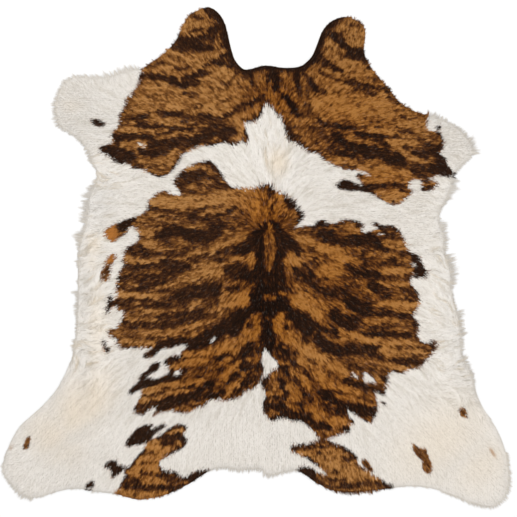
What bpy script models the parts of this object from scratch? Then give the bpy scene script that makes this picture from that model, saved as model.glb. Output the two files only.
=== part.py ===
"""Cowhide rug: one whole hide with the hair on, lying flat.

The solid is the hide with its coat of hair: a flat skin side on the ground, an outline that runs along the
tips of the laid hair, and an upper side that follows how thick the coat lies, with its few soft creases.
Metres, +Z up, the neck towards +Y and the rump towards -Y. The origin is the middle of the outline's box, on
the ground.
"""

import math

import bmesh
import bpy
from mathutils import Vector
from mathutils.geometry import delaunay_2d_cdt

MM = 0.001

# Driving dimensions
SKIN_MM = 2.0  # the tanned skin, which is all there is at the very edge
COAT_TOP_MM = 12.0  # the thickest that the skin and coat may be together
OUTLINE_STEP_MM = 30.0  # how far apart the outline's corners are
GRID_STEP_MM = 60.0  # how far apart the corners are inside
EDGE_ROWS = (0.34, 1.0)  # rows of corners along the edge, as shares of the taper
COAT_MM = 7.5  # skin and laid hair together, where no zone below says otherwise

# The outline, clockwise from where the left foreleg meets the neck. Each section is one edge of the hide.
# taper_mm: how far in from the hair tips the coat reaches its full thickness
# points_mm: x, y of the corners that a smooth curve runs through
OUTLINE = (
    # section, taper_mm, points_mm
    (
        "left_neck",
        16,
        (
            (-460, 761),
            (-406, 794),
            (-363, 827),
            (-330, 864),
            (-308, 908),
            (-290, 946),
            (-262, 978),
            (-202, 1000),
            (-172, 991),
            (-144, 966),
            (-125, 930),
            (-113, 886),
            (-101, 834),
            (-87, 790),
            (-66, 762),
        ),
    ),
    (
        "neck_notch",
        8,
        (
            (-46, 749),
            (-15, 753),
            (20, 763),
            (52, 764),
            (96, 757),
            (140, 756),
            (178, 763),
        ),
    ),
    (
        "right_neck",
        16,
        (
            (204, 782),
            (223, 806),
            (240, 846),
            (255, 886),
            (272, 916),
            (298, 941),
            (332, 957),
            (362, 962),
            (396, 952),
            (424, 934),
            (440, 906),
            (441, 874),
            (436, 838),
            (443, 797),
            (470, 750),
            (514, 698),
            (545, 660),
            (577, 622),
            (616, 595),
        ),
    ),
    (
        "right_foreleg",
        18,
        (
            (660, 579),
            (714, 564),
            (773, 541),
            (816, 512),
            (849, 474),
            (871, 436),
            (872, 408),
            (850, 380),
            (818, 352),
            (798, 326),
            (790, 296),
        ),
    ),
    (
        "right_flank",
        26,
        (
            (782, 258),
            (762, 212),
            (744, 176),
            (742, 140),
            (757, 96),
            (762, 46),
            (764, 0),
            (780, -36),
            (790, -78),
            (788, -122),
            (796, -170),
            (808, -214),
            (822, -262),
            (830, -314),
            (830, -366),
            (842, -412),
            (860, -450),
            (872, -498),
        ),
    ),
    (
        "right_hind_leg",
        16,
        (
            (884, -550),
            (905, -602),
            (938, -651),
            (971, -710),
            (993, -768),
            (1008, -826),
            (1014, -882),
            (1008, -934),
            (986, -976),
            (948, -1002),
            (905, -1000),
            (854, -986),
            (806, -966),
            (756, -949),
            (704, -932),
            (656, -924),
            (607, -922),
            (550, -929),
        ),
    ),
    (
        "rump",
        14,
        (
            (494, -936),
            (438, -942),
            (382, -947),
            (334, -944),
            (284, -932),
            (230, -905),
            (186, -874),
            (152, -860),
            (112, -868),
            (72, -876),
            (40, -874),
            (14, -855),
            (-24, -854),
            (-70, -858),
            (-128, -849),
            (-174, -856),
            (-218, -881),
            (-261, -910),
            (-314, -936),
            (-366, -959),
            (-416, -970),
            (-466, -977),
            (-514, -969),
        ),
    ),
    (
        "left_hind_leg",
        16,
        (
            (-566, -953),
            (-622, -945),
            (-674, -936),
            (-732, -931),
            (-784, -940),
            (-828, -952),
            (-870, -963),
            (-914, -965),
            (-952, -944),
            (-984, -912),
            (-1008, -880),
            (-1016, -840),
            (-1008, -800),
            (-993, -760),
            (-971, -716),
            (-940, -672),
            (-900, -635),
            (-854, -594),
            (-806, -539),
            (-768, -475),
        ),
    ),
    (
        "left_flank",
        24,
        (
            (-744, -414),
            (-733, -362),
            (-726, -314),
            (-721, -254),
            (-719, -174),
            (-718, -94),
            (-717, -14),
            (-717, 38),
            (-706, 84),
            (-693, 128),
            (-686, 178),
            (-680, 228),
            (-664, 272),
            (-647, 306),
            (-645, 338),
            (-660, 369),
        ),
    ),
    (
        "left_foreleg",
        18,
        (
            (-676, 402),
            (-699, 437),
            (-730, 469),
            (-762, 491),
            (-793, 510),
            (-809, 546),
            (-815, 594),
            (-809, 637),
            (-793, 678),
            (-767, 709),
            (-732, 728),
            (-686, 730),
            (-638, 726),
            (-590, 733),
            (-540, 748),
            (-497, 758),
        ),
    ),
)

# How thick skin and coat lie, where it isn't COAT_MM. Each zone fades out over its reach.
COAT_ZONES = (
    # zone, x_mm, y_mm, reach_x_mm, reach_y_mm, more_mm
    ("left_belly_long_hair", -700, -90, 90, 460, 2.4),
    ("right_belly_long_hair", 800, -120, 110, 420, 2.6),
    ("neck_mane", 90, 690, 330, 150, 1.2),
    ("withers_whorl", 40, 350, 220, 130, 1.6),
    ("left_thigh_short_hair", -690, -720, 330, 260, -1.8),
    ("right_thigh_short_hair", 720, -760, 330, 230, -1.8),
    ("left_foreleg_short_hair", -700, 610, 150, 150, -0.8),
    ("rump_fringe", 60, -790, 190, 110, 1.2),
)

# Long soft ridges (more than 0) and troughs (less) in how the hide lies, each from one end to the other.
CREASES = (
    # crease, from_x_mm, from_y_mm, to_x_mm, to_y_mm, half_width_mm, height_mm
    ("left_thigh_trough", -640, -650, -890, -860, 46, -1.7),
    ("left_thigh_ridge", -560, -700, -800, -900, 52, 1.6),
    ("backbone", 30, 280, 20, -560, 60, 1.4),
    ("tail_root_left", 14, -640, 6, -830, 20, -1.5),
    ("tail_root_right", 62, -640, 70, -850, 22, 1.6),
    ("left_stifle", -700, -330, -830, -600, 44, 1.5),
    ("right_stifle", 770, -400, 900, -640, 46, 1.5),
    ("right_thigh_trough", 640, -860, 800, -700, 60, -1.2),
)


def smooth_loop(points, step):
    """Points about a step apart on the smooth closed curve through the given ones."""
    out = []
    n = len(points)
    for i in range(n):
        a, b, c, d = (Vector(points[(i + k - 1) % n]) for k in range(4))
        pieces = max(1, round((c - b).length / step))
        for k in range(pieces):
            t = k / pieces
            out.append(
                0.5
                * (
                    2 * b
                    + (c - a) * t
                    + (2 * a - 5 * b + 4 * c - d) * t * t
                    + (3 * b - a - 3 * c + d) * t * t * t
                )
            )
    return out


def thinned(points, step):
    """Leaves out corners that lie closer than a share of the step on nearly straight runs."""
    kept = [points[0]]
    for i in range(1, len(points)):
        before, here, after = kept[-1], points[i], points[(i + 1) % len(points)]
        turn = (here - before).angle_signed(after - here, 0.0)
        if (here - before).length < 0.7 * step and abs(turn) < math.radians(9):
            continue
        kept.append(here)
    return kept


def nearest_on_edge(p, loop):
    """The distance from p to the loop, and which of its edges is nearest."""
    best, where = 1e9, 0
    for i, a in enumerate(loop):
        b = loop[(i + 1) % len(loop)]
        ab = b - a
        t = min(1.0, max(0.0, (p - a).dot(ab) / ab.length_squared))
        d = (a + ab * t - p).length
        if d < best:
            best, where = d, i
    return best, where


def inside(p, loop):
    """Whether p is inside the loop."""
    odd = False
    for i, a in enumerate(loop):
        b = loop[(i + 1) % len(loop)]
        if (a.y > p.y) != (b.y > p.y):
            if p.x < a.x + (p.y - a.y) * (b.x - a.x) / (b.y - a.y):
                odd = not odd
    return odd


def fade(t):
    """1 at 0, falling smoothly to 0 at 1 and past it."""
    t = min(1.0, abs(t))
    return 0.5 + 0.5 * math.cos(math.pi * t)


def coat_height(p, edge, taper):
    """How high the coat's upper side is over p, edge millimetres in from the hair tips."""
    h = COAT_MM
    for _, x, y, rx, ry, more in COAT_ZONES:
        h += more * fade(math.hypot((p.x - x) / (1.6 * rx), (p.y - y) / (1.6 * ry)))
    for _, x0, y0, x1, y1, half, high in CREASES:
        a, b = Vector((x0, y0)), Vector((x1, y1))
        along = (p - a).dot(b - a) / (b - a).length_squared
        off = (p - a - (b - a) * min(1.0, max(0.0, along))).length
        ends = 1.0 - fade(min(1.0, max(0.0, min(along, 1.0 - along) / 0.25)))
        h += high * fade(off / (1.5 * half)) * ends
    # the coat comes down to the bare thickness of the skin at its edge, as a quarter round
    rise = min(1.0, edge / taper)
    return SKIN_MM + (h - SKIN_MM) * math.sqrt(max(0.0, 1.0 - (1.0 - rise) ** 2))


# ---------------------------------------------------------------- scene
for ob in list(bpy.data.objects):
    bpy.data.objects.remove(ob, do_unlink=True)

parts = bpy.data.collections.new("cowhide_rug")
bpy.context.scene.collection.children.link(parts)

# ---------------------------------------------------------------- outline
corners, tapers = [], []
for _, taper, rows in OUTLINE:
    corners += rows
    tapers += [taper] * len(rows)
loop = thinned(smooth_loop(corners, OUTLINE_STEP_MM), OUTLINE_STEP_MM)
lows = Vector((min(p.x for p in loop), min(p.y for p in loop)))
highs = Vector((max(p.x for p in loop), max(p.y for p in loop)))
middle = (lows + highs) / 2


def taper_at(p):
    """The taper of the outline's part nearest to p, blended between sections."""
    total = weight = 0.0
    for (x, y), taper in zip(corners, tapers):
        w = 1.0 / (400.0 + (p.x - x) ** 2 + (p.y - y) ** 2) ** 2
        total, weight = total + w * taper, weight + w
    return total / weight


# ---------------------------------------------------------------- corners of the sheet
spots = list(loop)
n = len(loop)
for row, share in enumerate(EDGE_ROWS):
    for i in range(n):
        if row and i % 2:
            continue  # the inner row is half as fine
        a, b, c = loop[i - 1], loop[i], loop[(i + 1) % n]
        along = (c - a).normalized()
        inward = Vector((along.y, -along.x))  # the outline runs clockwise
        taper = taper_at(b)
        p = b + inward * taper * share
        if inside(p, loop) and nearest_on_edge(p, loop)[0] > 0.9 * taper * share:
            spots.append(p)
columns = math.ceil((highs.x - lows.x) / GRID_STEP_MM)
rows = math.ceil((highs.y - lows.y) / (GRID_STEP_MM * 0.866))
for j in range(rows + 1):
    for i in range(columns + 1):
        p = Vector(
            (
                lows.x + (i + 0.5 * (j % 2)) * GRID_STEP_MM,
                lows.y + j * GRID_STEP_MM * 0.866,
            )
        )
        if inside(p, loop) and nearest_on_edge(p, loop)[0] > 0.75 * GRID_STEP_MM:
            spots.append(p)

border = [(i, (i + 1) % n) for i in range(n)]
flat, _, faces, *_ = delaunay_2d_cdt(spots, border, [], 1, 0.01)

# ---------------------------------------------------------------- sheet
mesh = bpy.data.meshes.new("hide")
mesh.from_pydata([((p.x - middle.x) * MM, (p.y - middle.y) * MM, 0.0) for p in flat], [], faces)
bm = bmesh.new()
bm.from_mesh(mesh)
bmesh.ops.recalc_face_normals(bm, faces=bm.faces)
if sum(f.normal.z for f in bm.faces) < 0:
    bmesh.ops.reverse_faces(bm, faces=bm.faces)
bm.to_mesh(mesh)
bm.free()
hide = bpy.data.objects.new("hide", mesh)
parts.objects.link(hide)

# the group holds how thick the sheet is at each corner, as a share of COAT_TOP_MM
coat = hide.vertex_groups.new(name="coat")
for v in mesh.vertices:
    p = Vector((v.co.x / MM + middle.x, v.co.y / MM + middle.y))
    high = coat_height(p, nearest_on_edge(p, loop)[0], taper_at(p))
    coat.add([v.index], high / COAT_TOP_MM, "REPLACE")

thick = hide.modifiers.new("thickness", "SOLIDIFY")
thick.thickness = COAT_TOP_MM * MM
thick.offset = 1.0
thick.vertex_group = "coat"
thick.thickness_vertex_group = 0.0
thick.use_rim = True

# ---------------------------------------------------------------- material
hair = bpy.data.materials.new("hair_on_hide")
hair.use_nodes = True
shader = hair.node_tree.nodes["Principled BSDF"]
shader.inputs["Base Color"].default_value = (0.52, 0.42, 0.32, 1.0)
shader.inputs["Roughness"].default_value = 0.6
shader.inputs["Metallic"].default_value = 0.0
mesh.materials.append(hair)
for f in mesh.polygons:
    f.use_smooth = True
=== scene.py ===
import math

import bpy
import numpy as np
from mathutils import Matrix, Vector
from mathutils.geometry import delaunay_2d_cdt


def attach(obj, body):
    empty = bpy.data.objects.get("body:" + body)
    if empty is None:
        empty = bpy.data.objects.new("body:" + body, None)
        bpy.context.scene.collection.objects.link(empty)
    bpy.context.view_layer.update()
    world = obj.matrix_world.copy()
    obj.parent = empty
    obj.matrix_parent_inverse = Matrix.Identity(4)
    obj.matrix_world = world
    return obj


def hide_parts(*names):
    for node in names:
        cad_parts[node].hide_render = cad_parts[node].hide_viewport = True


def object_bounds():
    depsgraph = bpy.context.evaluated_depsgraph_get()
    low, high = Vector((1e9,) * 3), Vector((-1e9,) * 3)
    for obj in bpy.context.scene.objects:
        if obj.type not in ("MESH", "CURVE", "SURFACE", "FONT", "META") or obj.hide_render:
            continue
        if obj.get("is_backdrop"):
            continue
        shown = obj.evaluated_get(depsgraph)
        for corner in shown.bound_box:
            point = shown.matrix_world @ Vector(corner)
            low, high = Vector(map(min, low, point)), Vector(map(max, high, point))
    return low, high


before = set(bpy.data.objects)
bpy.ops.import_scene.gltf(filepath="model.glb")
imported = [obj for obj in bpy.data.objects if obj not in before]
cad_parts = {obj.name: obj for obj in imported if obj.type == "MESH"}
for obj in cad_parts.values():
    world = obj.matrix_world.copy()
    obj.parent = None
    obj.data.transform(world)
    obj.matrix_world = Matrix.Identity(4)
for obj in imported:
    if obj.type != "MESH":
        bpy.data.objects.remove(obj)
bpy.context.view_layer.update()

# Cowhide rug: the looks. A thin tanned skin lies flat on the floor. On it is an undercoat, and on that the laid
# hair, strand by strand, which follows the lie of the coat: up the neck and down the flanks from a whorl on the
# withers. The markings come from tables of patches and stripes, and each hair takes its colour from where it
# grows.
#
# Places in the tables are in units of 4 mm on a square of 517 units seen from above, counted from its top left
# corner, x to the right and y down. Headings are in degrees: 0 to the right, 90 up to the neck.

MM = 0.001
UNIT_MM = 4.0  # one unit of the tables
MIDDLE = 256.5  # the table square's own middle, where the hide's frame has its origin
SHIFT_MM = 1.0  # the origin is the middle of the outline's box, which lies this far off

# Sizes
SKIN_MM = 2.0  # the tanned skin
COAT_MM = 7.5  # skin and laid hair together, where no zone says otherwise
UNDERCOAT_SHARE = 0.58  # how much of the coat's depth is packed undercoat
STRANDS = 372000  # hairs of the coat, in four bands
STRAND_MM = 18.5  # how long a hair is
STRAND_WIDE_MM = 1.9  # how wide one lock of laid hair is
LOCK_MM = 9.0  # how far apart the locks are
FRINGE_STEP_MM = 0.95  # how far apart the hairs of the fringe are, in each of its three rows
FRINGE_WIDE_MM = 0.9  # how wide one of its hairs is
UNDERCOAT_STEP = 2.4  # units between the corners of the undercoat
SKIN_STEP_MM = 9.0  # between the corners of the skin's edge

# The outline, clockwise from where the left foreleg meets the neck, as in the solid.
# inset_mm: how far the skin ends inside the tips. fringe_mm: how far hair reaches past the skin.
# tufts: how uneven the fringe is. clean: 1 where a smooth edge turns down with no fringe; its hair is painted near
# black there, its own dark colour and painted shade where the edge turns down.
OUTLINE = (
    # section, taper_mm, inset_mm, fringe_mm, tufts, clean, points_mm
    ("left_neck_outer", 18, 8.0, 13.0, 0.6, 0, (
        (-460, 761), (-406, 794), (-363, 827), (-330, 864), (-308, 908), (-290, 946), (-262, 978),
    )),
    ("left_neck_inner", 16, 1.0, 1.0, 0.1, 1, (
        (-202, 1000), (-172, 991), (-144, 966), (-125, 930), (-113, 886), (-101, 834), (-87, 790), (-66, 762),
    )),
    ("neck_notch", 8, 1.0, 1.2, 0.1, 1, (
        (-46, 749), (-15, 753), (20, 763), (52, 764), (96, 757), (140, 756), (178, 763),
    )),
    ("right_neck_inner", 16, 1.0, 1.0, 0.1, 1, (
        (204, 782), (223, 806), (240, 846), (255, 886), (272, 916), (298, 941), (332, 957),
    )),
    ("right_neck_outer", 18, 8.0, 13.0, 0.6, 0, (
        (362, 962), (396, 952), (424, 934), (440, 906), (441, 874), (436, 838), (443, 797), (470, 750),
        (514, 698), (545, 660), (577, 622), (616, 595),
    )),
    ("right_foreleg", 20, 9.0, 16.0, 0.8, 0, (
        (660, 579), (714, 564), (773, 541), (816, 512), (849, 474), (871, 436), (872, 408), (850, 380),
        (818, 352), (798, 326), (790, 296),
    )),
    ("right_belly_front", 26, 12.0, 18.0, 1.0, 0, (
        (782, 258), (762, 212), (744, 176), (742, 140), (757, 96), (762, 46), (764, 0), (780, -36),
        (790, -78), (788, -122),
    )),
    ("right_belly_middle", 26, 11.0, 14.0, 1.0, 0, (
        (796, -170), (808, -214),
    )),
    ("right_belly_back", 26, 14.0, 20.0, 1.0, 0, (
        (822, -262), (830, -314), (830, -366), (842, -412),
    )),
    ("right_stifle", 22, 6.0, 9.0, 0.7, 0, (
        (860, -450), (872, -498),
    )),
    ("right_hind_leg_inner", 16, 1.5, 2.5, 0.2, 0, (
        (884, -550), (905, -602), (938, -651), (971, -710), (993, -768),
    )),
    ("right_hind_leg_end", 16, 5.0, 9.0, 0.6, 0, (
        (1008, -826), (1014, -882), (1008, -934), (986, -976), (948, -1002), (905, -1000), (854, -986),
        (806, -966), (756, -949), (704, -932), (656, -924), (607, -922), (550, -929),
    )),
    ("rump", 14, 6.0, 8.0, 0.6, 0, (
        (494, -936), (438, -942), (382, -947), (334, -944), (284, -932), (230, -905), (186, -874),
        (152, -860), (112, -868), (72, -876), (40, -874), (14, -855), (-24, -854), (-70, -858),
        (-128, -849), (-174, -856), (-218, -881), (-261, -910), (-314, -936), (-366, -959), (-416, -970),
        (-466, -977), (-514, -969),
    )),
    ("left_hind_leg_end", 16, 4.0, 9.0, 0.6, 0, (
        (-566, -953), (-622, -945), (-674, -936), (-732, -931), (-784, -940), (-828, -952), (-870, -963),
        (-914, -965), (-952, -944), (-984, -912), (-1008, -880), (-1016, -840), (-1008, -800),
    )),
    ("left_hind_leg_inner", 16, 1.5, 2.5, 0.2, 0, (
        (-993, -760), (-971, -716), (-940, -672), (-900, -635), (-854, -594), (-806, -539), (-768, -475),
    )),
    ("left_belly_back", 24, 5.5, 5.0, 1.0, 0, (
        (-744, -414), (-733, -362), (-726, -314), (-721, -254), (-719, -174), (-718, -94), (-717, -14),
    )),
    ("left_belly_front", 24, 11.0, 22.0, 1.0, 0, (
        (-717, 38), (-706, 84), (-693, 128), (-686, 178), (-680, 228), (-664, 272),
    )),
    ("left_armpit", 20, 6.0, 10.0, 0.8, 0, (
        (-647, 306), (-645, 338), (-660, 369),
    )),
    ("left_foreleg", 20, 14.0, 16.0, 0.8, 0, (
        (-676, 402), (-699, 437), (-730, 469), (-762, 491), (-793, 510), (-809, 546), (-815, 594),
        (-809, 637), (-793, 678), (-767, 709), (-732, 728), (-686, 730), (-638, 726), (-590, 733),
        (-540, 748), (-497, 758),
    )),
)

# Tufts that stand out past the belly's edge: where the tip of each is.
TUFTS = (
    # side, tip_x, tip_y
    ("left", 73.0, 237.0), ("left", 74.5, 262.0), ("left", 73.0, 295.0), ("left", 73.0, 314.0),
    ("left", 73.5, 328.0), ("left", 72.0, 342.0), ("left", 76.0, 356.0), ("left", 77.5, 221.0),
    ("left", 82.0, 203.0), ("left", 74.5, 281.0), ("left", 84.5, 187.0),
    ("right", 451.5, 232.0), ("right", 449.5, 240.0), ("right", 457.0, 256.0), ("right", 456.5, 271.0),
    ("right", 459.5, 284.0), ("right", 462.5, 316.0), ("right", 467.0, 328.0), ("right", 465.5, 343.0),
    ("right", 467.5, 349.0), ("right", 470.5, 366.0), ("right", 475.5, 376.0),
)

# Stretches of the edge where the fringe stands out on its own: how far its hairs reach at either end, and which
# way they point.
FRINGES = (
    # stretch, from_x, from_y, reach, to_x, to_y, reach, heading
    ("left_foreleg_top", 138, 67, 4.5, 104, 74, 5.0, 126), ("left_foreleg_top", 104, 74, 4.5, 72, 76, 4.0, 138),
    ("left_foreleg_front", 72, 76, 3.5, 56, 92, 3.5, 150), ("left_foreleg_front", 56, 92, 3.5, 54, 110, 4.0, 178),
    ("left_foreleg_front", 54, 110, 4.0, 57, 128, 4.5, 194), ("left_foreleg_under", 57, 128, 3.5, 76, 139, 2.5, 212),
    ("left_foreleg_under", 76, 139, 2.5, 91, 160, 3.5, 206),
    ("left_armpit", 92, 158, 5.0, 95, 170, 1.5, 156), ("left_elbow", 93, 184, 4.5, 89, 198, 7.0, 168),
    ("left_girth", 89, 199, 5.5, 86, 221, 7.0, 167), ("left_girth", 86, 222, 3.5, 84, 231, 2.5, 176),
    ("left_belly_tuft", 84, 232, 11.0, 80, 246, 3.5, 184), ("left_belly", 80, 248, 1.6, 79, 259, 2.0, 184),
    ("left_belly", 79, 260, 4.0, 79, 268, 1.4, 184), ("left_belly", 78, 291, 6.0, 78, 298, 2.5, 190),
    ("left_belly", 78, 299, 3.0, 78, 310, 5.0, 186), ("left_belly", 78, 311, 5.5, 77, 318, 2.0, 182),
    ("left_flank_fold", 77, 319, 2.5, 76, 329, 1.5, 186), ("left_flank_fold", 76, 330, 3.0, 75.5, 336, 1.0, 188),
    ("left_flank_fold", 75.5, 339, 3.5, 74.5, 344, 2.5, 196), ("left_flank_fold", 74.5, 344, 4.5, 73, 351, 1.5, 192),
    ("right_foreleg_top", 428, 114, 4.5, 447, 120, 3.0, 62), ("right_foreleg_top", 448, 120, 2.0, 459, 126, 2.5, 48),
    ("right_foreleg_front", 459, 126, 3.5, 468, 138, 4.0, 36), ("right_foreleg_front", 468, 138, 5.5, 474, 149, 4.5, 24),
    ("right_foreleg_front", 474, 149, 5.5, 473, 157, 5.0, 0), ("right_foreleg_under", 472, 158, 2.0, 455, 177, 2.5, -20),
    ("right_armpit", 454, 180, 5.0, 451, 191, 7.0, -4), ("right_armpit", 450, 192, 6.5, 446, 200, 4.5, 4),
    ("right_armpit", 446, 200, 5.0, 441, 211, 2.0, 26), ("right_girth", 440, 222, 7.0, 443, 236, 4.5, 12),
    ("right_girth", 443, 237, 6.0, 444, 251, 2.5, 8), ("right_belly", 444, 255, 11.0, 447, 266, 7.5, 14),
    ("right_belly", 447, 266, 8.0, 450, 290, 2.5, 4), ("right_belly", 451, 292, 2.0, 455, 310, 2.5, 0),
    ("right_belly", 457, 312, 6.5, 460, 332, 4.5, 6), ("right_belly", 460, 333, 5.0, 461, 350, 2.0, 4),
    ("right_flank_fold", 462, 357, 4.0, 470, 364, 5.5, 16), ("right_flank_fold", 470, 365, 4.5, 475, 384, 2.0, 8),
    ("left_hind_leg", 8, 449, 1.5, 5, 474, 3.0, 214), ("left_hind_leg", 5, 474, 2.5, 20, 491, 3.0, 226),
    ("left_hind_leg", 20, 491, 4.0, 34, 497, 3.5, 238), ("left_hind_leg", 36, 497, 2.0, 50, 494, 2.5, 232),
    ("left_hind_leg", 84, 489, 1.5, 99, 492, 3.0, 226),
    ("rump_left", 215, 467, 2.2, 258, 471, 3.6, 262), ("rump_right", 260, 470, 4.0, 272, 476, 3.5, 262),
    ("rump_right", 274, 475, 2.4, 296, 469, 2.2, 270), ("right_haunch", 322, 485, 3.0, 345, 490, 3.5, 302),
    ("right_haunch", 345, 490, 3.5, 376, 489, 3.0, 298), ("right_hind_leg", 440, 491, 3.2, 470, 503, 4.2, 302),
    ("right_hind_leg", 506, 452, 2.5, 508, 490, 3.5, -30), ("right_hind_leg", 508, 490, 3.2, 494, 505, 3.2, -48),
    ("right_hind_leg", 494, 505, 3.2, 470, 503, 3.8, -72),
)

# How thick skin and coat lie, where it isn't COAT_MM, and how long and wavy the hair is there.
COAT_ZONES = (
    # zone, x_mm, y_mm, reach_x_mm, reach_y_mm, more_mm
    ("left_belly_long_hair", -700, -90, 90, 460, 2.4),
    ("right_belly_long_hair", 800, -120, 110, 420, 2.6),
    ("neck_mane", 90, 690, 330, 150, 1.2),
    ("withers_whorl", 40, 350, 220, 130, 1.6),
    ("left_thigh_short_hair", -690, -720, 330, 260, -1.8),
    ("right_thigh_short_hair", 720, -760, 330, 230, -1.8),
    ("left_foreleg_short_hair", -700, 610, 150, 150, -0.8),
    ("rump_fringe", 60, -790, 190, 110, 1.2),
)
HAIR_ZONES = (
    # zone, x, y, reach_x, reach_y, longer_mm, wavier_degrees, rougher
    ("left_belly", 88, 285, 28, 110, 14.0, 22, 0.75),
    ("left_belly_curls", 92, 350, 24, 34, 3.0, 34, 0.5),
    ("right_belly", 448, 290, 26, 100, 14.0, 20, 0.65),
    ("right_belly_curls", 460, 388, 28, 36, 2.0, 30, 0.3),
    ("left_thigh", 60, 445, 75, 60, -3.0, -5, -0.6),
    ("right_thigh", 450, 455, 85, 60, -3.0, -5, -0.6),
    ("hind_quarters", 240, 445, 110, 34, -1.0, -2, -0.5),
    ("left_foreleg", 80, 110, 34, 34, -4.0, 4, 0.0),
    ("right_foreleg", 452, 140, 30, 34, -4.0, 4, 0.0),
    ("left_neck", 200, 50, 40, 50, -3.0, 0, -0.1),
    ("right_neck", 342, 55, 36, 46, -3.0, 0, -0.1),
    ("withers", 268, 180, 60, 50, 7.0, 0, 0.1),
    ("mane", 270, 145, 26, 34, 9.0, 12, 0.45),
    ("left_elbow", 100, 180, 36, 32, 9.0, 14, 0.55),
)

# Long soft ridges (more than 0) and troughs (less) in how the hide lies, each from one end to the other.
CREASES = (
    # crease, from_x_mm, from_y_mm, to_x_mm, to_y_mm, half_width_mm, height_mm
    ("left_thigh_trough", -640, -650, -890, -860, 46, -1.7),
    ("left_thigh_ridge", -560, -700, -800, -900, 52, 1.6),
    ("backbone", 30, 280, 20, -560, 60, 1.4),
    ("tail_root_left", 14, -640, 6, -830, 20, -1.5),
    ("tail_root_right", 62, -640, 70, -850, 22, 1.6),
    ("left_stifle", -700, -330, -830, -600, 44, 1.5),
    ("right_stifle", 770, -400, 900, -640, 46, 1.5),
    ("right_thigh_trough", 640, -860, 800, -700, 60, -1.2),
)

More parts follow.
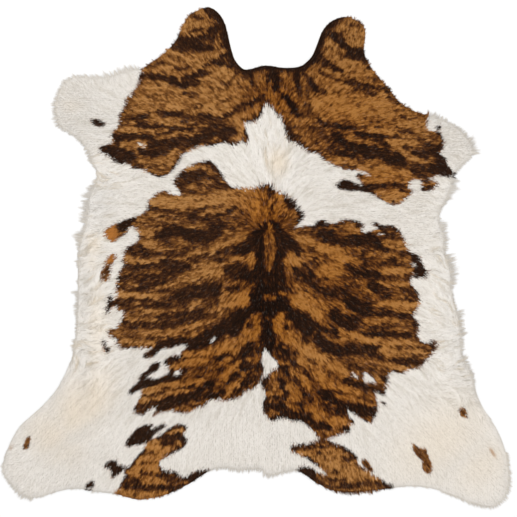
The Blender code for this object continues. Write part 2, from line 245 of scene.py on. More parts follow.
# The lie of the hair: where its tips point at each place.
LIE = (
    # zone, rows of x, y, heading
    ("spine", (
        (270, 80, 90), (268, 100, 90), (268, 130, 90), (268, 160, 90), (268, 190, 91), (267, 215, 92),
        (268, 244, 270), (268, 260, 270), (268, 290, 270), (268, 330, 270), (268, 370, 270),
        (268, 410, 270), (268, 445, 270), (268, 472, 270),
    )),
    ("withers_left", (
        (257, 215, 118), (247, 212, 138), (256, 190, 120), (245, 175, 138), (238, 200, 146), (225, 200, 165),
        (225, 180, 152), (214, 165, 150), (240, 152, 128), (255, 140, 110), (226, 150, 145), (196, 155, 158),
        (205, 200, 176), (185, 205, 180), (160, 208, 183), (135, 212, 185), (160, 180, 182), (140, 170, 186),
        (120, 185, 186), (105, 200, 184), (180, 180, 176), (200, 175, 166),
    )),
    ("withers_right", (
        (279, 215, 62), (287, 208, 52), (278, 192, 76), (290, 192, 50), (286, 170, 66), (300, 180, 26),
        (284, 150, 74), (300, 152, 42), (320, 165, 14), (320, 185, 12), (345, 175, 10), (345, 200, 8),
        (380, 185, 5), (380, 205, 2), (415, 190, 0), (410, 210, -6), (298, 212, 36), (312, 208, 16),
    )),
    ("flank_left", (
        (250, 236, 205), (238, 228, 188), (225, 225, 186), (240, 248, 216), (225, 245, 206), (205, 220, 184),
        (180, 228, 186), (150, 232, 190), (125, 228, 192), (250, 262, 232), (228, 268, 217), (200, 255, 204),
        (170, 255, 200), (140, 258, 200), (118, 270, 202), (250, 292, 237), (228, 295, 222), (198, 290, 210),
        (165, 290, 205), (130, 290, 205), (252, 322, 242), (230, 322, 227), (200, 320, 214), (165, 320, 208),
        (130, 322, 206), (255, 352, 247), (235, 352, 234), (205, 352, 220), (175, 352, 213), (148, 352, 212),
    )),
    ("flank_right", (
        (286, 236, -25), (298, 228, -8), (312, 228, -8), (296, 248, -36), (312, 246, -26), (335, 224, -8),
        (360, 230, -10), (390, 238, -12), (286, 262, -52), (308, 268, -37), (338, 255, -24), (370, 258, -20),
        (400, 262, -22), (286, 292, -57), (308, 295, -42), (338, 290, -30), (370, 290, -25), (405, 290, -25),
        (284, 322, -62), (306, 322, -47), (338, 320, -34), (370, 320, -28), (405, 322, -26), (281, 352, -67),
        (303, 352, -54), (335, 352, -40), (370, 352, -33), (405, 352, -30),
    )),
    ("loin", (
        (257, 385, 256), (238, 385, 242), (205, 385, 229), (172, 385, 226), (140, 388, 226), (110, 385, 228),
        (257, 415, 262), (232, 418, 254), (198, 422, 246), (165, 425, 236), (135, 430, 230),
        (280, 385, -76), (302, 385, -63), (335, 385, -52), (370, 388, -45), (400, 385, -42),
        (280, 415, -82), (306, 418, -76), (338, 422, -66), (370, 425, -56), (400, 420, -48),
    )),
    ("rump", (
        (245, 445, 266), (215, 450, 259), (185, 450, 250), (158, 458, 241), (250, 470, 268), (225, 466, 266),
        (195, 478, 260), (170, 485, 255), (140, 488, 248), (290, 445, -86), (285, 468, -88), (305, 462, -84),
        (325, 450, -78), (355, 458, -67), (330, 480, -80), (360, 485, -74),
    )),
    ("thigh_left", (
        (95, 395, 236), (75, 415, 236), (100, 420, 233), (50, 440, 234), (75, 450, 232), (105, 450, 233),
        (30, 462, 230), (15, 470, 215), (12, 450, 205), (40, 480, 234), (25, 488, 226), (65, 482, 240),
        (95, 480, 240), (120, 478, 243), (60, 425, 234),
    )),
    ("thigh_right", (
        (425, 395, -44), (445, 420, -46), (420, 430, -48), (470, 440, -48), (445, 455, -49), (415, 455, -50),
        (490, 462, -50), (505, 455, -35), (506, 478, -42), (475, 480, -56), (492, 492, -56), (445, 480, -60),
        (415, 475, -63), (395, 480, -68), (455, 412, -46), (400, 445, -52),
    )),
    ("belly_left", (
        (100, 215, 186), (92, 232, 190), (84, 240, 176), (98, 250, 208), (86, 260, 200), (96, 272, 220),
        (84, 282, 206), (98, 295, 208), (84, 300, 188), (96, 315, 196), (84, 320, 184), (98, 332, 200),
        (84, 338, 196), (92, 350, 214), (84, 362, 226), (78, 378, 236), (96, 370, 226), (66, 398, 236),
    )),
    ("belly_right", (
        (425, 215, 10), (436, 225, 12), (436, 242, -8), (440, 258, -26), (430, 262, -24), (446, 275, -38),
        (434, 290, -36), (448, 300, -40), (436, 315, -32), (454, 322, -14), (446, 338, 30), (458, 345, 42),
        (454, 360, 20), (440, 352, 10), (464, 372, -20), (452, 385, -40), (470, 392, -50), (476, 410, -54),
        (430, 372, -38), (425, 335, -28),
    )),
    ("neck_left", (
        (206, 14, 112), (195, 25, 122), (218, 30, 112), (205, 45, 124), (182, 40, 130), (228, 55, 120),
        (190, 65, 134), (165, 60, 140), (215, 75, 135), (240, 74, 122), (150, 72, 150), (175, 85, 150),
        (205, 92, 150), (140, 95, 160), (165, 110, 160), (195, 112, 158), (225, 110, 148), (248, 92, 128),
        (250, 115, 122), (225, 132, 156), (195, 132, 168), (160, 132, 174), (125, 125, 180), (120, 148, 184),
        (150, 150, 184), (180, 146, 176), (245, 132, 130), (255, 105, 112), (258, 78, 104),
    )),
    ("neck_right", (
        (348, 22, 70), (335, 30, 66), (358, 40, 60), (328, 45, 62), (345, 55, 54), (320, 62, 58),
        (355, 75, 40), (330, 80, 46), (305, 76, 62), (380, 92, 30), (350, 98, 26), (320, 98, 38),
        (295, 92, 56), (300, 115, 44), (335, 118, 20), (370, 118, 12), (400, 118, 8), (325, 138, 22),
        (360, 140, 8), (395, 142, 4), (425, 138, 2), (290, 130, 58), (308, 138, 36), (345, 158, 8),
        (385, 162, 0), (420, 160, -4), (285, 108, 66), (283, 78, 78),
    )),
    ("foreleg_left", (
        (72, 82, 140), (90, 80, 125), (110, 80, 118), (130, 78, 128), (60, 92, 158), (56, 108, 180),
        (62, 124, 202), (75, 136, 214), (88, 150, 205), (96, 162, 196), (80, 105, 170), (100, 105, 165),
        (100, 130, 185), (120, 105, 160), (95, 178, 188),
    )),
    ("foreleg_right", (
        (430, 118, 35), (445, 122, 40), (460, 130, 30), (468, 142, 8), (472, 152, -8), (462, 164, -30),
        (452, 176, -40), (440, 150, -4), (450, 142, 0), (432, 170, -14), (438, 188, -24), (436, 205, -4),
    )),
)

# The patches of coloured hair, a row for each section of a patch's outline. kind says what a patch adds:
# "brindle", "dark" and "brown" hair, "orange" hair, or "white" hair that is left standing in a patch.
PATCHES = (
    # patch, kind, section, points
    ("shoulders", "brindle", "left_edge", (
        (141, 66), (141.5, 70), (139, 77), (139, 82), (134, 90), (129, 96), (124.5, 98.5), (125.5, 101),
        (124, 106), (121, 112), (119, 116), (119.5, 121), (118, 127), (113, 131),
    )),
    ("shoulders", "brindle", "left_elbow", (
        (111, 136), (113, 141), (107, 144.5), (98, 147), (102, 152), (109, 157), (114, 161), (120, 164),
        (126, 163.5), (130, 164.5), (133, 169), (142, 169.3),
    )),
    ("shoulders", "brindle", "left_armpit", (
        (148, 172.5), (152, 175.5), (158, 177.5), (165, 176), (171, 173), (175, 167.5), (179, 161.5), (182, 156),
        (188, 152), (196, 148.5), (204, 146), (213, 146),
    )),
    ("shoulders", "brindle", "left_of_withers", (
        (221, 143.5), (228, 143.7), (233, 146), (238, 143), (245, 142.5), (249, 139.5), (247.5, 134), (245, 126.5),
        (243, 124.5), (247, 123), (253, 122.5), (257, 121), (261, 116.5),
    )),
    ("shoulders", "brindle", "right_of_withers", (
        (263, 110), (266, 105), (269, 106.5), (272, 109), (278, 115.5), (282, 120.5), (284, 127), (285.5, 135),
        (289, 140), (296, 143.5), (302, 147), (307, 152),
    )),
    ("shoulders", "brindle", "right_armpit", (
        (311, 153), (317, 153.5), (325, 161), (336, 166), (343, 169), (351, 170.5), (357, 170.3), (363, 172),
        (369, 175), (374, 177.3), (368, 176.3), (363, 174.5),
    )),
    ("shoulders", "brindle", "right_wedge_front", (
        (358, 173.7), (356, 176), (358, 179), (361, 183), (363, 186), (357, 184.5), (352, 183.5), (347, 180),
        (343, 180), (337, 185.5), (341, 189.5), (348, 191.5),
    )),
    ("shoulders", "brindle", "right_wedge", (
        (356, 190.7), (362, 191.3), (368, 193), (374, 195), (378, 198.5), (384, 201.5), (389.5, 204.5), (395, 205),
        (402, 202.5), (406, 198), (411, 195), (415, 191),
    )),
    ("shoulders", "brindle", "under_right_elbow", (
        (421, 191), (430, 191.3), (435, 188), (438.5, 181.7), (432, 181), (428, 180), (432, 178.3), (438, 176),
        (445, 174.5), (450.5, 177), (452.5, 173),
    )),
    ("shoulders", "brindle", "right_elbow", (
        (448, 168), (445.7, 163), (446.3, 159), (442, 155.7), (439.7, 153), (443, 148), (444.3, 142.3), (442, 137),
        (438, 133), (436, 131), (428.3, 130.3), (427.5, 125),
    )),
    ("shoulders", "brindle", "past_the_neck", (
        (428, 120), (428.5, 114.5), (430, 102), (405, 90), (385, 60), (380, 0), (150, -4), (134, 50),
    )),
    ("saddle", "brindle", "left_lobe_top", (
        (173.5, 181), (176.5, 176.5), (183, 170), (191, 165), (201, 162), (209, 160.5), (215, 164.5), (220, 171),
        (224.5, 178.5), (229, 184.5), (235, 187.5), (245, 188),
    )),
    ("saddle", "brindle", "crown", (
        (253, 188), (260, 185.5), (267, 184), (271, 184.5), (275, 189), (280.5, 192), (288, 195.5), (294, 200),
        (298, 206), (302, 212), (303.5, 217), (300, 223),
    )),
    ("saddle", "brindle", "right_of_crown", (
        (295, 228.5), (304, 226), (314, 225.5), (317.5, 221), (323, 220), (329, 223.5), (335, 223.5), (343, 219.5),
        (351, 219.5), (361, 222.5), (364, 227), (361, 231),
    )),
    ("saddle", "brindle", "right_front", (
        (365, 233), (370, 231), (378, 229), (373, 226), (373, 222), (385, 225.5), (390, 224.5), (397, 228),
        (401, 233), (405, 241), (408.5, 250), (411, 255),
    )),
    ("saddle", "brindle", "right_flank_front", (
        (412, 262.5), (414.5, 270.5), (412.5, 277), (409.5, 282.5), (413.5, 287.5), (418, 293), (420, 301.5),
        (418, 306.5), (416, 312), (413, 317), (418, 322), (418.5, 329.5),
    )),
    ("saddle", "brindle", "right_flank_back", (
        (419, 339.5), (428.5, 343.5), (431, 340), (436, 341), (437, 347), (435, 350.5), (429.5, 357),
        (423.5, 364.5), (418, 368.5), (409.5, 369.5), (403, 373.5), (391.5, 372.5),
    )),
    ("saddle", "brindle", "right_hip", (
        (388, 380), (386, 388), (384, 396), (375, 392), (377.5, 403.5), (377, 414.5), (374, 418), (370, 423.5),
        (360, 418), (348.5, 411), (350, 417.5), (355, 422),
    )),
    ("saddle", "brindle", "right_rump_corner", (
        (350, 426), (350, 432), (341, 434.5), (333, 437.5), (322, 438.5), (316, 436), (314.5, 432), (308, 427),
        (303, 422), (293, 421), (285.5, 418.5), (277.5, 419.5),
    )),
    ("saddle", "brindle", "over_the_tail", (
        (270, 421), (268, 417), (264, 413), (262, 408), (263, 402), (265, 396), (265, 391), (263, 388),
        (260, 384.5), (258, 386), (251.5, 389.5), (244, 392),
    )),
    ("saddle", "brindle", "left_loin", (
        (241, 397), (235, 398.5), (228, 401), (220.5, 400.5), (214.5, 399.5), (208.5, 400.5), (206, 404.5),
        (199.5, 407.5), (192, 411), (186.5, 413.5), (178, 412.5), (171.5, 411),
    )),
    ("saddle", "brindle", "left_hip", (
        (162, 412.5), (152.5, 416), (156.5, 407.5), (147, 412), (141.5, 415.5), (133, 410), (139.5, 399.5),
        (142, 390), (147, 388.5), (156, 379.5), (160, 377.5), (169, 372.5),
    )),
    ("saddle", "brindle", "left_hip_front", (
        (168, 367.5), (164, 363), (168, 357), (176, 355), (170, 350), (167, 348), (160, 350.5), (156, 355),
        (151, 358), (144, 358), (142, 356.5), (146, 352), (152, 349), (148, 348.5),
    )),
    ("saddle", "brindle", "left_flank_back", (
        (131, 348), (121, 349), (117, 343), (114.5, 338), (109.5, 335.5), (107, 330), (117, 327.5), (123, 317.5),
        (123.5, 311.5), (118, 310.5), (116.5, 306), (112, 308),
    )),
    ("saddle", "brindle", "left_flank", (
        (109, 314), (105.5, 312.5), (106.5, 306.5), (109, 301.5), (114.5, 300), (117, 293), (115.5, 286),
        (118, 275.5), (123.5, 264.5), (123, 259.5), (124, 253), (127, 247),
    )),
    ("saddle", "brindle", "left_flank_front", (
        (138, 240.5), (137, 230), (131, 227), (126, 234), (117, 239), (112, 242), (106, 236), (106, 230),
        (116, 225), (124.5, 220), (133, 217.5), (140, 215),
    )),
    ("saddle", "brindle", "left_lobe_back", (
        (147, 209), (148.5, 201.5), (158, 192.5), (169, 191), (180, 195.5), (178, 190), (174, 185),
    )),
    ("upper_hip_streak", "dark", "all", (
        (150, 366), (153, 363), (158, 362), (161, 364), (158, 369), (155, 372), (150, 374), (146, 377), (144, 379),
        (140, 382), (138, 381), (140, 376), (143, 373), (148, 370),
    )),
    ("lower_hip_streak", "dark", "top", (
        (128, 395), (130, 389), (134, 385), (139, 382), (145, 379), (150, 377), (157, 379), (164, 379), (172, 371),
    )),
    ("lower_hip_streak", "dark", "bottom", ((171, 378), (158, 384), (150, 387), (140, 390), (134, 393))),
    ("right_shoulder_blob", "dark", "all", (
        (336, 185.5), (342, 179.5), (349, 180.5), (356, 184), (364, 186), (370, 189), (366, 192), (358, 191), (348, 191),
        (340, 189.5),
    )),
    ("right_elbow_tip", "dark", "all", (
        (437, 158), (446, 158.5), (447, 164.5), (453, 172), (451, 177), (441, 175), (436, 166),
    )),
    ("right_flank_islet", "dark", "outside", (
        (411, 253.5), (416, 254), (420, 257), (421.5, 262), (424.5, 267.5), (427.5, 272), (426.5, 277), (423.5, 280),
    )),
    ("right_flank_islet", "dark", "inside", (
        (420.5, 277), (417.5, 279), (413, 276.5), (415, 274.5), (414, 270), (416, 266), (413, 262), (411.5, 258),
    )),
    ("left_belly_spot", "brown", "all", (
        (110.5, 254.5), (115, 256), (111, 266), (109, 277), (104, 282), (101.5, 274.5), (105.5, 263.5),
    )),
    ("left_belly_wisp", "dark", "all", (
        (109, 294), (112.5, 296), (113.5, 302), (111, 308), (107.5, 315), (105.5, 312), (106.5, 304),
    )),
    ("left_belly_dot", "dark", "all", ((101.5, 339.5), (105, 340), (108, 346), (111, 350), (107.5, 353.5), (104, 350.5), (102.5, 345))),
    ("left_haunch_blob", "dark", "top", (
        (125, 445), (127, 440), (130, 435), (135, 430), (139, 427), (145, 425), (153, 423.5), (152, 427), (150, 430),
        (156, 427), (162, 424), (167, 424),
    )),
    ("left_haunch_blob", "dark", "bottom", (
        (165, 428), (160, 431), (155, 434), (152, 438), (150, 440), (144, 443), (138, 445), (132, 446), (127, 447),
    )),
    ("left_haunch", "brindle", "front", (
        (143, 450), (148, 442), (156.5, 437), (163, 433.5), (170, 427.5), (178, 424.5), (185, 425), (188, 428.5),
        (183, 433.5), (186.5, 437.5), (187, 443.5), (181.5, 449),
    )),
    ("left_haunch", "brindle", "inner_side", (
        (174, 453.5), (166.5, 457.5), (160.5, 461.5), (160, 466), (165, 470.5), (175, 471), (181, 476),
        (186.5, 476.5), (194, 471.5), (208, 469), (216, 474),
    )),
    ("left_haunch", "brindle", "past_the_rump", (
        (205, 484), (190, 496), (170, 504), (140, 510), (118, 504), (111, 497), (113, 493),
    )),
    ("left_haunch", "brindle", "outer_side", (
        (119.5, 487.5), (122, 481.5), (124.5, 475), (125, 470), (131, 464), (136, 457.5),
    )),
    ("left_haunch_zigzag", "dark", "all", (
        (103.5, 466.5), (108.5, 461), (119.5, 460), (117, 464), (126, 466.5), (119.5, 474), (112, 477.5),
        (110.5, 470),
    )),
    ("left_haunch_dot", "dark", "all", ((84.5, 486.5), (88.5, 482.5), (94, 480), (95, 484.5), (91, 488.5))),
    ("left_thigh_spot", "brown", "all", (
        (24, 448.5), (24.8, 442.5), (28.5, 436.5), (30.3, 437), (29.6, 444), (27, 449),
    )),
    ("right_haunch", "brindle", "front", (
        (290, 446.5), (296.5, 444), (306.5, 443.5), (316.5, 440), (322, 438.5), (331, 441), (341, 445),
        (349.5, 450), (357, 456.5), (358.5, 463.5), (364.5, 469),
    )),
    ("right_haunch", "brindle", "outer_side", (
        (372.5, 475), (380, 478), (386, 482), (394.5, 485), (393, 488), (394, 496),
    )),
    ("right_haunch", "brindle", "past_the_rump", ((350, 501), (325, 497), (311, 488), (314, 480))),
    ("right_haunch", "brindle", "inner_side", (
        (316, 472.5), (327, 475), (320, 468), (316.5, 466), (310, 461), (303, 456.5), (291.5, 451.5),
    )),
    ("rump_dark", "dark", "all", (
        (295, 470), (303, 466.5), (313, 468), (316.5, 472.5), (314, 480), (313, 488), (300, 480), (292, 475),
    )),
    ("right_haunch_dot", "brown", "all", ((361, 461), (366, 460), (370, 465), (373.5, 470), (369, 471))),
    ("right_thigh_spot", "brown", "all", (
        (412.5, 443.5), (420, 449), (425, 448.5), (428, 456.5), (432, 466.5), (428, 474), (422.5, 467.5),
        (422.5, 460), (415.5, 454),
    )),
    ("right_thigh_ring", "brown", "all", (
        (459.5, 409.5), (463, 407.8), (466.3, 410.5), (466.4, 415), (463.4, 418), (460.6, 415.5),
    )),
    ("right_loin_dot", "dark", "all", ((380, 400), (383, 401), (387, 404), (387.5, 407), (384, 405), (381, 403))),
    ("left_foreleg_spot", "dark", "all", (
        (90, 120.5), (96.5, 119), (103, 121.5), (106.5, 124.5), (101.5, 127.5), (94.5, 125.5),
    )),
    ("right_foreleg_spot", "dark", "all", ((434.5, 127.5), (438.5, 125), (442.5, 127.5), (438.5, 130))),
    ("right_foreleg_streak", "dark", "all", ((435, 133), (439, 131.5), (441.5, 133.5), (440, 136), (437, 135))),
    ("left_belly_orange", "orange", "all", (
        (117, 224), (118, 237), (112, 242), (106, 236), (106, 230), (111, 227),
    )),
    ("left_belly_orange_tip", "orange", "all", ((110.5, 254.5), (115, 256), (113, 263), (106.5, 262.5))),
    ("left_belly_dark", "dark", "all", (
        (116, 225), (124.5, 220), (133, 217.5), (138, 218), (131, 224), (126, 231), (118, 232),
    )),
    ("white_elbow", "white", "all", ((409, 187), (411, 181.5), (416, 179), (421, 181.5), (422, 185), (420, 190), (412, 190))),
    ("white_left_shoulder", "white", "all", ((138.5, 143), (139.5, 141.5), (141.5, 143.2), (144.5, 146.3), (141.3, 147.2))),
    ("white_left_lobe", "white", "all", ((168, 191), (173, 191), (180.5, 193.5), (179, 195.5), (171, 194))),
    ("white_right_streak", "white", "all", ((379, 233.6), (383, 233.3), (383.5, 234.8), (379.5, 235.3))),
    ("white_spine", "white", "all", (
        (263, 351), (268, 352), (271, 356), (276, 361), (278, 367), (276, 369), (273, 370), (270, 374), (266, 376),
        (264, 368), (262, 362),
    )),
    ("white_spine_tail", "white", "all", ((266, 374), (262, 380), (259.5, 386), (257, 387), (260.5, 380), (264, 373))),
    ("white_hip_streak", "white", "all", (
        (170, 350), (174, 346), (179, 346), (183, 344), (186, 347), (184, 350), (181, 352), (179, 357), (175, 354),
        (170, 353),
    )),
    ("white_loin_left", "white", "all", ((174, 373.5), (176, 370.5), (180.5, 372), (178, 376))),
    ("white_flank_left", "white", "all", ((209.5, 341.5), (212.5, 338.5), (216, 338), (213, 341.5))),
    ("white_loin_right", "white", "all", (
        (366, 372), (370, 376), (374, 379), (376, 383), (370, 382), (365, 383), (364, 377),
    )),
    ("white_loin_right_fleck", "white", "all", ((352, 372), (355, 374), (358, 377), (355, 378))),
)

